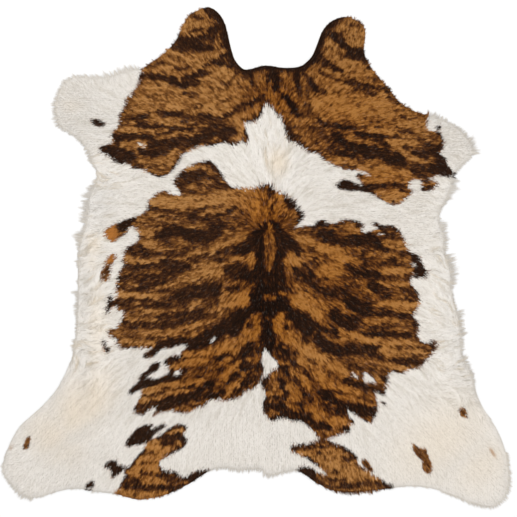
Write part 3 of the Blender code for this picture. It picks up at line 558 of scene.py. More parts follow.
# The brindle, painted stroke over stroke on ground of middling brown. dark goes from 0, the brightest tan, over
# 0.35, warm brown, and 0.8, dark brown, to 1, near black. wide is the stroke's whole width.
STROKES = (
    # zone, rows of (dark, wide, (x, y), (x, y), ...)
    ("ground_of_the_neck", (
        (0.22, 90, (205, 40), (195, 90), (160, 130)), (0.22, 90, (342, 40), (350, 90), (400, 125)),
        (0.40, 46, (256, 92), (292, 98)), (0.24, 40, (370, 180), (410, 185)), (0.26, 30, (150, 165), (165, 165)),
    )),
    ("left_neck_lobe", (
        (0.94, 8, (206, 9), (214, 14), (219, 21), (222.5, 31), (225, 43), (227, 54), (232, 64), (241, 71)),
        (0.6, 4, (190, 16), (198, 18), (206, 17)), (0.7, 2.5, (190, 31.5), (197, 30.5), (203, 29)),
        (0.9, 9, (211, 30), (218, 28), (224, 27)), (0.88, 13, (174, 45), (184, 43), (195, 43), (204, 41), (213, 37)),
        (0.86, 6, (184, 48), (197, 49), (211, 48)), (0.6, 3, (181, 52), (188, 54)), (0.35, 4, (206, 43), (209, 43)),
        (0.72, 8, (214, 34), (219, 43), (223, 50)), (0.35, 4, (217, 38), (218, 44), (219, 49)), (0.28, 4, (213, 52), (220, 50), (226, 52)),
        (0.9, 8, (222, 57), (228, 59), (232, 65)), (0.5, 2, (225, 58), (227, 60)),
        (0.85, 6, (211, 62), (217, 61), (223, 64)), (0.7, 3.5, (204, 67), (209, 65), (212, 62)),
        (0.75, 3.5, (173, 69.5), (183, 69), (191, 67)), (0.6, 2.5, (152, 66), (164, 62)),
        (0.45, 2, (163, 57), (166, 62), (170, 67)), (0.3, 3, (224, 67), (230, 68), (233, 70)),
    )),
    ("left_neck", (
        (0.9, 6, (139, 77.5), (150, 77), (160, 77), (169, 79), (178, 81)), (0.6, 3, (139, 84), (142, 81), (144, 79)),
        (0.9, 6, (172, 82), (180, 85), (188, 86)), (0.9, 6, (183, 81), (190, 77.5), (198, 75), (207, 73)),
        (0.85, 6, (187, 82), (193, 83), (197, 83)), (0.1, 3, (180, 77), (181, 81)), (0.5, 2, (207, 72), (215, 72)),
        (0.6, 4, (184, 93), (190, 94), (197, 95)), (0.5, 2, (186, 97), (191, 97)), (0.45, 3, (147, 96), (155, 97)),
        (0.4, 3, (160, 95), (166, 94)), (0.35, 2.5, (144, 105), (158, 105)), (0.3, 3, (150, 87), (162, 88)),
        (0.65, 3, (193, 109), (197, 107.5), (201, 106)), (0.65, 4, (221, 83), (226, 85), (230, 82)),
        (0.7, 2.5, (224, 88), (229, 86)), (0.5, 2, (216, 89), (228, 89)), (0.7, 3, (231, 80), (235, 75), (238, 71)),
        (0.5, 3, (219, 101), (230, 101)), (0.65, 4, (238, 107), (245, 105), (251, 102)),
        (0.65, 3, (233, 112), (244, 110), (252, 107)), (0.75, 4, (251, 105), (257, 100), (264, 95)),
        (0.75, 5, (237, 72), (244, 72), (250, 72)), (0.35, 8, (240, 81), (248, 82)),
        (0.8, 3, (251, 74), (252, 80), (253, 87)), (0.3, 9, (258, 73), (261, 79), (261, 86)),
        (0.4, 5, (242, 90), (262, 91)), (0.6, 3, (266, 73), (268, 80)),
    )),
    ("left_shoulder", (
        (0.85, 5, (126, 119), (134, 118.5), (141, 117), (149, 114.5)), (0.85, 6, (159, 113), (167, 114), (174, 115), (181, 113)),
        (0.75, 4, (181, 117), (190, 117), (199, 116.5)), (0.8, 6, (199, 118), (206, 115), (214, 119)),
        (0.78, 6, (183, 122), (195, 123), (206, 121), (216, 121)), (0.8, 7, (136, 124), (144, 125), (150, 125), (157, 126)),
        (0.28, 4, (131, 121), (134, 123)), (0.25, 4, (161, 121), (170, 121), (178, 123)), (0.5, 6, (121, 121), (127, 124)),
        (0.3, 4, (197, 127), (205, 125)), (0.35, 3, (186, 124), (192, 123)), (0.75, 4, (213, 119), (222, 117), (229, 114), (237, 110)),
        (0.72, 5, (206, 122), (215, 123), (225, 124)), (0.35, 3.5, (223, 121), (232, 121)), (0.35, 4, (229, 126), (236, 125)),
        (0.35, 4, (201, 127), (210, 127)), (0.8, 4, (152, 129), (165, 129), (180, 129.5), (195, 129), (205, 131)),
        (0.15, 4, (121, 129), (130, 131), (140, 133), (150, 133), (160, 132), (167, 130)),
        (0.22, 4, (173, 135), (182, 134.5), (192, 135), (199, 134)), (0.92, 6.5, (113, 136.5), (122, 137), (132, 136.5), (142, 137), (150, 138)),
        (0.8, 3, (156, 135), (164, 134), (172, 132)), (0.28, 2.5, (153, 138), (162, 138), (170, 136.5)),
        (0.9, 10, (150, 144), (162, 144), (176, 142), (190, 141), (203, 138), (214, 131)), (0.86, 6, (160, 147), (178, 147), (194, 145)),
        (0.86, 8, (204, 132), (210, 128), (216, 127)), (0.9, 9, (202, 138), (212, 134), (222, 131), (234, 132)),
        (0.86, 6, (219, 136), (228, 139)), (0.35, 3, (210, 140), (220, 140)), (0.22, 4, (230, 140), (240, 139)),
        (0.22, 8, (236, 117), (240, 124), (241, 132), (240, 138)), (0.22, 6, (236, 114), (246, 114), (257, 110)),
        (0.85, 3.5, (246, 123), (252, 120), (258, 117), (262, 111), (265, 104)), (0.85, 4, (245.5, 128), (248, 134), (248, 140)),
        (0.85, 3.5, (206, 145.5), (215, 145), (225, 142.5), (234, 145), (243, 142.5)),
        (0.25, 7, (119, 147), (126, 145), (135, 146)), (0.85, 5, (114, 141), (118, 144)),
        (0.95, 9, (101, 148.5), (109, 150), (116, 152), (124, 155), (133, 157)), (0.97, 7, (110, 155), (117, 159), (125, 162)),
        (0.88, 8, (140, 151), (150, 153), (160, 154), (167, 156)), (0.5, 3, (136, 157), (150, 158)),
        (0.2, 8, (142, 162), (150, 163), (160, 162), (171, 158), (175, 152)), (0.6, 4, (132, 163), (140, 166)),
        (0.85, 3, (133, 168), (142, 168.5)), (0.6, 2, (150, 167), (166, 165)), (0.6, 2.5, (158, 170), (173, 170)),
        (0.75, 3, (152, 175), (158, 176.5), (167, 175)), (0.85, 3.5, (172, 171), (176, 165), (180, 158), (185, 153)),
    )),
    ("middle_of_the_neck", (
        (0.92, 4, (244, 71), (255, 69), (265, 67), (280, 68), (290, 69), (301, 68)), (0.95, 10, (272, 71), (275, 77), (276, 83), (276, 88)),
        (0.3, 9, (284, 73), (288, 79), (290, 87)), (0.9, 4.5, (297, 72), (297, 80), (297.5, 88), (300, 93)),
        (0.8, 3, (302, 72), (307, 76), (309, 80)), (0.88, 6, (309, 80), (312, 84), (317, 90)), (0.38, 5, (302, 78), (304, 86)),
        (0.28, 10, (268, 95), (276, 99), (281, 108)), (0.8, 2.5, (262, 111), (265, 104), (268, 101), (271, 107), (276, 113)),
        (0.96, 7, (283, 95), (288, 100), (293, 105), (297, 111)), (0.88, 6, (292, 111), (298, 113), (304, 116)),
        (0.86, 3.5, (277, 115), (282, 120.5), (285, 127), (286, 133)), (0.3, 8, (291, 119), (300, 121), (312, 120)),
        (0.88, 7, (287, 128), (290, 134), (293, 139)), (0.3, 8, (294, 130), (303, 133), (310, 137)), (0.7, 2, (294, 127), (301, 129)),
        (0.7, 2, (296, 135), (302, 137)), (0.8, 3.5, (295, 140), (301, 143.5), (306, 148)), (0.28, 6, (303, 139), (311, 144), (318, 148)),
        (0.65, 4, (306, 149), (313, 151), (321, 153)), (0.65, 2.5, (306, 105), (312, 105)), (0.45, 5, (300, 111), (312, 114)),
    )),
    ("right_neck_lobe", (
        (0.97, 8, (336, 20), (330, 26), (325, 33), (322, 41), (319, 50), (314, 59), (304, 67)), (0.5, 3, (337, 24), (345, 22)),
        (0.6, 3, (349, 25), (354, 26), (360, 28)), (0.7, 3, (326, 31), (334, 30)), (0.9, 7.5, (331, 35), (338, 37), (343, 41)),
        (0.92, 7, (335, 42), (342, 45), (350, 48)), (0.35, 4, (328, 38), (326, 44), (329, 47)), (0.3, 3, (333, 43), (338, 47)),
        (0.12, 5, (347, 42), (355, 44), (363, 43)), (0.92, 9, (348, 50), (356, 52), (366, 54)), (0.86, 6, (353, 57), (361, 58), (368, 61)),
        (0.82, 4, (363, 62), (370, 67)), (0.35, 3.5, (341, 50), (347, 51)), (0.8, 6, (340, 56), (349, 57)), (0.45, 3, (321, 50), (332, 49)),
        (0.25, 6, (324, 58), (330, 56), (338, 56)), (0.82, 4, (318, 55), (322, 60)), (0.85, 6, (318, 62), (325, 64), (332, 66)),
        (0.8, 5, (331, 67), (337, 70), (343, 71)), (0.08, 10, (341, 63), (351, 65), (361, 67)), (0.4, 3, (310, 68), (322, 67)),
        (0.7, 4, (318, 71), (324, 73)), (0.6, 2.5, (324, 74), (331, 77), (338, 80), (345, 81)), (0.5, 2, (347, 73), (357, 72)),
        (0.6, 2, (343, 75), (346, 77)), (0.8, 5, (346, 81), (353, 82), (360, 84)), (0.75, 5, (352, 86), (358, 88)),
        (0.78, 4.5, (359, 84), (368, 87), (377, 89)), (0.76, 4.5, (361, 90), (368, 92), (375, 94)), (0.62, 4, (377, 86), (385, 89)),
        (0.8, 4, (385, 87), (389, 94)), (0.65, 3, (386, 97), (395, 99)), (0.55, 2.5, (361, 78), (370, 78), (379, 80)),
        (0.02, 2.5, (361, 75), (373, 74.5)), (0.2, 3, (362, 81), (374, 82), (382, 84)), (0.65, 3, (373, 81), (379, 82)),
        (0.5, 2.5, (334, 92), (341, 92)), (0.8, 4, (318, 88), (322, 91), (327, 94)), (0.7, 2.5, (300, 88), (303, 95), (309, 99)),
        (0.6, 3, (306, 87), (312, 92)),
    )),
    ("right_shoulder_front", (
        (0.1, 18, (318, 103), (345, 105), (375, 108), (395, 112)), (0.45, 2.5, (358, 104), (364, 101)), (0.55, 2.5, (309, 105), (313, 105)),
        (0.65, 4, (311, 113), (318, 117), (324, 121)), (0.85, 5, (318, 120), (326, 124), (333, 126)), (0.88, 5.5, (332, 126), (342, 127), (351, 128)),
        (0.6, 3, (344, 123), (349, 122)), (0.42, 3, (352, 124), (370, 123.5), (385, 123.5), (397, 124)), (0.75, 3, (377, 126.5), (382, 126)),
        (0.62, 3.5, (354, 128), (362, 128), (369, 127)), (0.4, 3, (386, 105), (398, 106)), (0.78, 3.5, (397, 103), (404, 106.5), (412, 109.5)),
        (0.5, 2, (394, 110), (405, 110)), (0.7, 3.5, (401, 117), (408, 119), (414, 119)), (0.6, 4, (419, 113), (425, 116), (427, 121)),
        (0.12, 6, (400, 123), (412, 123), (424, 124)), (0.15, 7, (369, 130), (380, 131), (393, 130)), (0.7, 3.5, (397, 128), (402, 128.5)),
        (0.66, 4.5, (401, 132), (408, 131), (415, 134)), (0.38, 5, (341, 133), (350, 134)), (0.88, 6.5, (357, 134), (363, 134), (369, 137)),
        (0.9, 4, (374, 136), (380, 136), (388, 138)), (0.72, 3.5, (388, 139), (400, 138), (412, 138), (421, 139)), (0.3, 2, (400, 135.5), (420, 136)),
        (0.8, 6.5, (375, 141), (381, 142), (388, 146)), (0.12, 5.5, (389, 141), (400, 141.5), (410, 142), (419, 141)),
        (0.3, 3.5, (350, 141), (360, 142), (370, 143), (377, 145)), (0.78, 3, (404, 148), (412, 148)), (0.3, 4, (414, 146), (424, 147)),
        (0.7, 7, (421, 140), (426, 143), (430, 146)), (0.35, 6, (430, 134), (436, 138), (441, 141)), (0.75, 2.5, (441, 136), (443, 142), (440, 148)),
    )),
    ("right_shoulder", (
        (0.93, 10, (334, 135), (338, 139), (343, 143)), (0.6, 9, (318, 130), (326, 137), (332, 146)), (0.93, 8, (346, 146), (356, 147), (366, 148), (375, 150)),
        (0.42, 4, (340, 147), (344, 149)), (0.9, 9, (336, 153), (350, 153), (362, 154), (376, 153), (386, 154)), (0.95, 12, (383, 155), (392, 157), (402, 158)),
        (0.5, 3, (391, 152), (394, 154)), (0.85, 5, (388, 163), (398, 165)), (0.68, 5, (357, 158), (366, 160)), (0.16, 6, (330, 160), (340, 161), (350, 162), (357, 163)),
        (0.3, 4, (366, 162), (375, 160), (381, 161)), (0.14, 11, (360, 168), (372, 171), (385, 174), (398, 175), (409, 176)), (0.6, 2, (349, 167), (355, 167.5)),
        (0.2, 4.5, (403, 154), (408, 156), (413, 157)), (0.25, 5, (407, 160), (415, 162), (425, 161), (432, 160)), (0.88, 7, (414, 152), (424, 153), (436, 150), (442, 147)),
        (0.95, 5, (420, 156), (427, 157)), (0.9, 7, (437, 156), (444, 160)), (0.97, 11, (429, 168), (438, 168), (446, 170), (451, 174)),
        (0.8, 6, (400, 165), (410, 167), (420, 167), (428, 168)), (0.8, 7, (414, 172), (420, 174), (428, 174)), (0.7, 2.5, (419, 180), (427, 180)),
        (0.85, 5.5, (420, 187), (427, 190), (432, 187)), (0.3, 5, (430, 184), (437, 182)), (0.7, 3, (357, 175), (362, 175)), (0.4, 5, (361, 178), (372, 181)),
        (0.9, 6, (355, 182), (362, 187), (368, 190)), (0.76, 5, (368, 190), (376, 194)), (0.74, 5.5, (368, 186), (380, 186.5), (392, 186), (402, 186), (408, 189)),
        (0.22, 4, (367, 180), (380, 181.5), (395, 181), (406, 181)), (0.14, 8, (378, 193), (390, 195), (402, 193)), (0.15, 6, (385, 200), (396, 200)),
        (0.85, 2.5, (377, 199), (383, 201.5)), (0.75, 2.5, (388, 203.5), (394, 204)), (0.72, 5, (403, 190), (409, 191), (413, 191)),
    )),
    ("left_lobe", (
        (0.2, 4.5, (188, 168), (196, 166), (204, 167)), (0.88, 5, (203, 162), (210, 162), (216, 167), (221, 174), (226, 180)),
        (0.35, 4, (203, 172), (213, 172)), (0.8, 4, (184, 174), (192, 175), (200, 172)), (0.85, 7, (176, 181), (186, 176), (198, 172), (206, 176)),
        (0.85, 6, (176, 183), (188, 181)), (0.8, 5, (190, 178), (204, 177), (220, 178)), (0.75, 5, (210, 184), (222, 186), (233, 188)),
        (0.3, 3, (186, 187), (196, 186)), (0.4, 3, (200, 182), (210, 182)), (0.6, 4, (180, 191), (196, 192)),
        (0.12, 13, (153, 202), (175, 203), (200, 202), (222, 198), (240, 194)), (0.05, 7, (160, 205), (185, 205)),
        (0.15, 6, (203, 213), (216, 213), (228, 208), (240, 202)), (0.72, 5, (148, 208), (160, 210), (172, 212)),
        (0.65, 5, (172, 213), (185, 214), (197, 212), (206, 208)), (0.85, 4.5, (188, 218), (205, 218), (221, 215.5), (230, 211), (237, 206)),
        (0.75, 3.5, (240, 212), (246, 208), (251, 202), (257, 197), (263, 193)),
    )),
    ("crown", (
        (0.22, 44, (252, 196), (272, 203)), (0.3, 22, (284, 208), (290, 214)),
        (0.7, 4, (259, 187), (267, 186)), (0.25, 14, (268, 200), (268, 220)), (0.92, 5, (270, 186), (273, 192), (269, 197)),
        (0.7, 3, (265, 200), (267, 204)), (0.7, 2.5, (271, 205), (273, 213)), (0.6, 3, (275, 197), (276, 202)),
        (0.85, 4, (283, 193), (287, 197), (288, 203), (293, 208)), (0.95, 5, (292, 201), (297, 206)), (0.98, 5, (298, 209), (302, 215), (300, 222)),
        (0.65, 2, (281, 217), (286, 213)), (0.6, 1.5, (290, 218), (294, 214)),
    )),
    ("left_flank_front", (
        (0.5, 7, (150, 219), (170, 219), (184, 222)), (0.2, 3, (150, 216), (158, 216)), (0.2, 3, (168, 222), (178, 222)),
        (0.15, 4, (185, 227), (199, 227)), (0.15, 9, (141, 233), (155, 233)), (0.1, 7, (142, 244), (152, 245), (162, 247)),
        (0.92, 12, (160, 235), (175, 231), (192, 235), (208, 236), (219, 229)), (0.88, 7, (192, 241), (206, 243)), (0.85, 6, (211, 222), (224, 224)),
        (0.6, 6, (158, 245), (176, 246), (193, 247)), (0.82, 10, (131, 250), (139, 251), (147, 255)),
        (0.15, 6, (122, 258), (140, 262), (158, 260), (172, 257), (187, 261)), (0.7, 5, (153, 253), (170, 255), (186, 254)),
        (0.65, 3, (184, 251), (197, 250)), (0.15, 7, (190, 255), (204, 253), (218, 247), (232, 241), (245, 233)), (0.25, 4, (226, 231), (240, 229)),
        (0.6, 3, (229, 231), (236, 230)), (0.65, 3, (238, 224), (247, 225)), (0.72, 5, (190, 260), (204, 257), (214, 255), (222, 252), (231, 248), (241, 247)),
    )),
    ("left_flank", (
        (0.78, 5, (124, 266), (136, 268), (150, 266), (164, 266)), (0.9, 9, (162, 263), (176, 265), (187, 267)), (0.8, 6, (165, 272), (180, 272)),
        (0.3, 3, (124, 273), (132, 273)), (0.35, 3, (141, 274), (160, 273)), (0.12, 8, (192, 275), (206, 272), (219, 274)), (0.3, 5, (192, 266), (214, 264)),
        (0.6, 3, (190, 262), (198, 262)), (0.8, 7, (119, 279), (140, 277), (160, 278), (176, 275)), (0.8, 7, (119, 286), (135, 287), (150, 284), (163, 282)),
        (0.25, 3, (130, 284), (137, 286)), (0.2, 5, (158, 288), (168, 285), (178, 281), (190, 280), (200, 276)), (0.12, 5, (118, 294), (132, 295), (146, 296), (158, 296)),
        (0.2, 3, (163, 296), (172, 293), (182, 289)), (0.7, 4, (160, 291), (167, 291)), (0.92, 15, (176, 297), (192, 293), (208, 291), (217, 290)),
        (0.8, 3, (220, 291), (230, 290), (240, 287)), (0.75, 8, (113, 303), (128, 303), (145, 304), (160, 304), (176, 305), (188, 302)),
        (0.35, 3, (133, 302), (139, 303)), (0.35, 2.5, (164, 303), (175, 303)), (0.15, 7, (191, 307), (199, 302)), (0.15, 4, (138, 309), (150, 312), (166, 312), (178, 313)),
        (0.6, 4, (126, 312), (136, 315)),
    )),
    ("left_flank_back", (
        (0.82, 5, (158, 317), (172, 316), (185, 314), (198, 312)), (0.85, 9, (180, 318), (192, 316), (205, 314)), (0.25, 4, (126, 319), (140, 320), (156, 320)),
        (0.4, 3, (150, 324), (160, 324)), (0.8, 7, (122, 324), (136, 327), (152, 327), (168, 326), (178, 322), (190, 320)),
        (0.15, 6, (140, 333), (156, 333), (172, 333), (184, 332), (195, 334)), (0.2, 5, (182, 331), (190, 327), (200, 323), (210, 321)), (0.7, 3.5, (184, 332), (190, 332)),
        (0.55, 6, (126, 333), (136, 334)), (0.3, 4, (112, 333), (121, 334)), (0.15, 6, (121, 341), (132, 341), (142, 343), (155, 343)), (0.7, 3, (150, 337), (160, 338), (168, 337)),
        (0.92, 9, (160, 344), (170, 343), (180, 342), (192, 344)), (0.95, 13, (190, 345), (206, 340), (218, 332), (230, 323), (241, 314), (250, 308)),
        (0.92, 5, (143, 356), (152, 353), (160, 350), (166, 346)),
    )),
    ("spine_front", (
        (0.95, 6, (266, 223), (262, 228), (259, 234)), (0.95, 13, (257, 238), (252, 244), (246, 250)), (0.9, 6, (246, 250), (240, 252), (235, 254)),
        (0.95, 7, (260, 245), (261, 254), (260, 262), (258, 270)), (0.95, 6, (273, 222), (278, 228)), (0.97, 6, (278, 228), (277, 236), (280, 244), (283, 252), (280, 260), (277, 268)),
        (0.95, 11, (284, 238), (290, 244), (294, 248)), (0.9, 6, (294, 250), (299, 254), (303, 258)), (0.15, 5, (269, 224), (271, 232), (271, 240)),
        (0.2, 8, (269, 247), (269, 256)), (0.35, 6, (269, 262), (269, 272)), (0.3, 3, (262, 243), (263, 246)), (0.35, 2.5, (278, 243), (280, 246)),
        (0.2, 6, (250, 254), (252, 262), (252, 268)), (0.45, 8, (240, 258), (244, 264)), (0.7, 7, (232, 264), (244, 266)), (0.88, 12, (228, 273), (240, 273), (248, 277)),
        (0.18, 6, (210, 267), (220, 265), (230, 262), (238, 258)), (0.65, 6, (213, 258), (224, 257)), (0.7, 3, (221, 261), (228, 261)),
        (0.15, 10, (300, 238), (312, 244), (320, 248)), (0.18, 8, (285, 263), (293, 258), (302, 260), (310, 256)), (0.7, 3, (293, 264), (298, 265)),
        (0.65, 4, (303, 229), (312, 233)), (0.85, 5, (311, 224), (327, 223)), (0.65, 3, (306, 246), (314, 251), (322, 252)), (0.6, 4, (314, 258), (320, 265)),
        (0.85, 12, (296, 273), (304, 271), (311, 276)), (0.9, 8, (300, 277), (310, 281), (316, 288)), (0.3, 3, (301, 280), (303, 280)),
    )),
    ("spine", (
        (0.97, 12, (252, 274), (260, 280), (266, 288)), (0.97, 14, (276, 274), (278, 284), (274, 292)), (0.75, 7, (265, 274), (270, 278)),
        (0.3, 2, (253, 283), (256, 280)), (0.35, 3, (281, 282), (284, 283)), (0.3, 3, (242, 286), (248, 281)), (0.3, 3, (293, 282), (298, 288)),
        (0.3, 4, (223, 290), (230, 285), (238, 282)), (0.12, 11, (228, 305), (236, 300), (244, 296)), (0.2, 6, (221, 299), (227, 295)), (0.2, 5, (213, 310), (222, 306)),
        (0.25, 4, (219, 316), (222, 310)), (0.12, 10, (293, 297), (302, 302), (311, 308), (319, 317)), (0.2, 5, (300, 294), (309, 296)), (0.3, 5, (311, 298), (320, 304)),
        (0.3, 4, (302, 286), (310, 288), (313, 292)), (0.98, 20, (258, 302), (279, 303)), (0.98, 18, (268, 300), (268, 312)), (0.42, 7, (265, 298), (271, 298)),
        (0.97, 12, (268, 312), (267, 330), (268, 348)), (0.6, 2, (271, 314), (271, 318)), (0.55, 3, (264, 322), (270, 322)), (0.25, 4, (250, 312), (253, 318)),
        (0.25, 6, (247, 321), (256, 326)), (0.9, 3, (248, 326), (251, 325)),
    )),
    ("spine_back", (
        (0.12, 12, (214, 354), (226, 347), (238, 341), (252, 333)), (0.2, 5, (257, 324), (258, 330)), (0.3, 3, (281, 314), (286, 316)), (0.2, 4, (284, 321), (288, 324)),
        (0.35, 3, (294, 315), (298, 319)), (0.4, 3, (300, 320), (303, 323)), (0.2, 5, (274, 324), (278, 331)),
        (0.12, 12, (282, 332), (290, 338), (298, 344), (306, 351), (315, 355), (323, 358)), (0.95, 12, (292, 318), (302, 322), (314, 330), (320, 338)),
        (0.35, 3, (309, 331), (315, 335)), (0.6, 6, (302, 340), (311, 342)), (0.2, 5, (310, 345), (318, 349)), (0.92, 8, (243, 348), (252, 347), (260, 350)),
        (0.35, 2.5, (250, 352), (253, 351)), (0.85, 4, (214, 358), (226, 356), (238, 355), (246, 352)), (0.92, 8, (284, 346), (288, 353)),
        (0.88, 7, (291, 361), (298, 364)), (0.92, 6, (282, 367), (287, 370), (291, 373)), (0.2, 4, (280, 362), (288, 364)), (0.15, 7, (300, 360), (308, 366), (316, 370)),
        (0.12, 8, (292, 371), (298, 376), (304, 382), (309, 388)),
    )),
    ("right_flank_front", (
        (0.95, 5, (318, 223), (328, 224)), (0.5, 6, (331, 226), (340, 231)), (0.2, 10, (343, 229), (357, 229)), (0.7, 1.5, (340, 221), (352, 220)), (0.9, 4, (355, 221), (361, 225)),
        (0.95, 4, (373, 222), (381, 226), (390, 226), (397, 230)), (0.65, 7, (383, 233), (399, 235)), (0.3, 3, (369, 234), (375, 234)), (0.9, 8, (320, 234), (335, 236)),
        (0.9, 8, (326, 241), (340, 243), (352, 241), (364, 241), (376, 243), (386, 248)), (0.88, 6, (354, 237), (368, 236), (377, 238)), (0.2, 10, (388, 243), (400, 245), (406, 247)),
        (0.12, 13, (320, 249), (336, 252), (348, 258), (357, 263)), (0.7, 2, (325, 256), (327, 257)), (0.6, 2, (324, 262), (326, 263)), (0.6, 2, (339, 262), (342, 263)),
        (0.45, 7, (347, 250), (362, 252)), (0.6, 3, (346, 254), (358, 257)), (0.8, 5, (364, 251), (363, 258), (366, 266)), (0.25, 3, (366, 256), (371, 256)),
        (0.45, 6, (371, 254), (380, 253)), (0.2, 5, (384, 257), (390, 255), (398, 254)), (0.8, 5, (401, 254), (408, 254)), (0.75, 6, (383, 263), (394, 261), (404, 264)),
        (0.3, 4, (399, 261), (410, 261)),
    )),
    ("right_flank", (
        (0.1, 7, (381, 271), (394, 271), (404, 271), (413, 271)), (0.65, 5, (381, 278), (394, 278), (409, 278)), (0.2, 5, (380, 283), (392, 284), (408, 284)),
        (0.12, 14, (322, 272), (335, 268), (343, 270)), (0.3, 5, (322, 283), (338, 282), (345, 284)), (0.87, 10, (349, 268), (358, 273), (370, 274), (378, 276)),
        (0.5, 7, (347, 283), (362, 284)), (0.85, 9, (370, 285), (380, 289), (388, 294)), (0.85, 9, (320, 291), (334, 292), (347, 292)), (0.3, 3, (362, 287), (370, 292), (376, 298)),
        (0.45, 6, (356, 295), (364, 297)), (0.7, 6, (402, 290), (412, 291), (418, 297)), (0.35, 3, (402, 295), (410, 296)), (0.4, 5, (391, 291), (397, 292)),
        (0.85, 3, (399, 300), (418, 301)), (0.08, 6, (380, 305), (394, 304), (408, 305), (418, 305)), (0.92, 13, (349, 301), (357, 306), (369, 308)),
        (0.3, 4, (339, 303), (343, 309), (349, 315)), (0.25, 6, (320, 305), (328, 309)), (0.4, 5, (331, 303), (338, 304)), (0.88, 11, (334, 314), (341, 320)),
        (0.85, 6, (362, 314), (378, 314), (392, 314), (411, 316)), (0.3, 4, (396, 310), (411, 311)), (0.2, 6, (364, 321), (380, 321), (398, 321)), (0.92, 14, (343, 324), (354, 324)),
        (0.3, 5, (320, 321), (328, 327)), (0.9, 6, (320, 327), (326, 331)), (0.35, 4, (322, 334), (329, 337)), (0.85, 7, (333, 330), (338, 335)),
        (0.72, 4, (364, 327), (380, 328), (396, 326)), (0.25, 2, (366, 328), (369, 328)), (0.25, 4, (392, 330), (404, 330), (415, 333)), (0.88, 6, (362, 335), (378, 335), (394, 336), (409, 336)),
        (0.7, 4, (414, 320), (417, 330), (417, 338)),
    )),
    ("right_flank_back", (
        (0.1, 7, (341, 331), (349, 335), (359, 338), (371, 340), (384, 342)), (0.25, 4, (339, 340), (350, 340)), (0.2, 8, (384, 345), (398, 342), (413, 344)),
        (0.85, 6, (352, 346), (366, 347), (380, 348)), (0.4, 3, (346, 346), (350, 347)), (0.95, 11, (320, 343), (331, 349), (342, 352), (352, 350)),
        (0.88, 6, (355, 350), (368, 352), (381, 357)), (0.15, 8, (380, 351), (395, 353), (408, 353), (421, 349)), (0.5, 2, (395, 347), (411, 347)), (0.5, 2.5, (400, 354), (416, 354)),
        (0.5, 6, (420, 347), (433, 350)), (0.9, 4, (430, 342), (435, 346)), (0.78, 6, (396, 362), (408, 362), (421, 362)), (0.2, 6, (380, 364), (392, 366), (408, 369)),
        (0.15, 11, (322, 362), (334, 366), (346, 373)), (0.45, 6, (348, 358), (366, 363)), (0.78, 4, (352, 366), (361, 369)), (0.85, 3, (390, 371), (403, 372)),
        (0.6, 6, (373, 371), (389, 373)), (0.2, 6, (376, 376), (381, 382)), (0.92, 4, (382, 377), (387, 383)), (0.87, 7, (348, 381), (358, 385), (368, 388), (378, 391), (384, 395)),
        (0.15, 8, (322, 379), (334, 385), (346, 389), (360, 393)), (0.6, 3, (340, 393), (352, 397)), (0.6, 3, (360, 394), (368, 396)), (0.12, 7, (338, 396), (352, 400), (364, 405), (373, 407)),
        (0.8, 8, (322, 393), (331, 397)), (0.93, 11, (333, 404), (348, 407), (362, 411), (373, 412)), (0.75, 8, (330, 411), (344, 413)), (0.2, 3, (332, 406), (337, 408)),
        (0.9, 5, (348, 413), (355, 421)), (0.1, 11, (331, 421), (341, 422), (347, 424)), (0.95, 5, (345, 428), (350, 431)), (0.85, 6, (321, 424), (329, 429)), (0.5, 5, (322, 434), (340, 434)),
    )),
    ("backbone", (
        (0.93, 9, (257, 233), (252, 240), (244, 248), (238, 253)), (0.93, 10, (259, 240), (260, 256), (258, 274)),
        (0.95, 9, (281, 231), (281, 250), (279, 262), (281, 276)), (0.92, 9, (285, 235), (291, 245), (299, 253)),
        (0.35, 7, (270.5, 232), (270.5, 243)), (0.34, 11, (270, 248), (270, 256)), (0.36, 7, (270, 263), (270, 272)),
        (0.22, 9, (251, 256), (252, 266)), (0.14, 15, (288, 261), (297, 262)), (0.2, 6, (303, 256), (309, 256)),
        (0.92, 24, (260, 283), (278, 285)), (0.93, 8, (254, 274), (250, 284)), (0.6, 4, (247, 288), (252, 285)),
        (1.0, 15, (256, 299), (257, 306)), (1.0, 15, (282, 299), (283, 307)), (0.3, 7, (265, 298.3), (273, 298.3)),
        (0.97, 12, (247, 310), (240, 320), (232, 333)), (0.97, 13, (292, 311), (300, 321), (308, 332)),
        (0.95, 13, (268, 306), (268, 330), (267, 352)), (0.55, 3, (265, 317), (271, 320)),
        (0.14, 11, (255, 320), (256, 329), (247, 336), (239, 343), (234, 352)), (0.85, 4, (250, 324), (251, 326)),
        (0.14, 10, (281, 317), (277, 327), (286, 335), (295, 343), (303, 354)), (0.9, 4, (286, 326), (287, 328)),
        (0.1, 16, (240, 301), (243, 302)), (0.12, 15, (296, 301), (301, 304)), (0.2, 4, (281, 293), (285, 294)),
        (0.86, 11, (250, 348), (243, 357)), (0.86, 10, (281, 348), (287, 358)), (0.3, 3, (284, 346), (286, 349)),
    )),
    ("left_hip", (
        (0.92, 5, (164, 363), (170, 359), (178, 361)), (0.8, 3, (180, 359), (191, 358)), (0.08, 7, (181, 365), (192, 362), (205, 361)), (0.15, 5, (183, 355), (196, 354), (208, 352), (219, 348)),
        (0.2, 5, (170, 367), (180, 366)), (0.9, 6, (167, 377), (172, 372)), (0.5, 10, (184, 374), (205, 372)), (0.8, 3, (184, 370), (188, 371)),
        (0.92, 8, (130, 393), (138, 387), (147, 382), (158, 381), (168, 379), (177, 378)), (0.1, 8, (143, 391), (153, 389), (165, 387), (176, 384)), (0.15, 5, (182, 388), (192, 385), (202, 380)),
        (0.8, 3, (180, 390), (188, 389), (196, 387)), (0.7, 2.5, (162, 388), (168, 387)), (0.12, 5, (150, 398), (162, 396), (172, 393), (184, 392), (194, 391)),
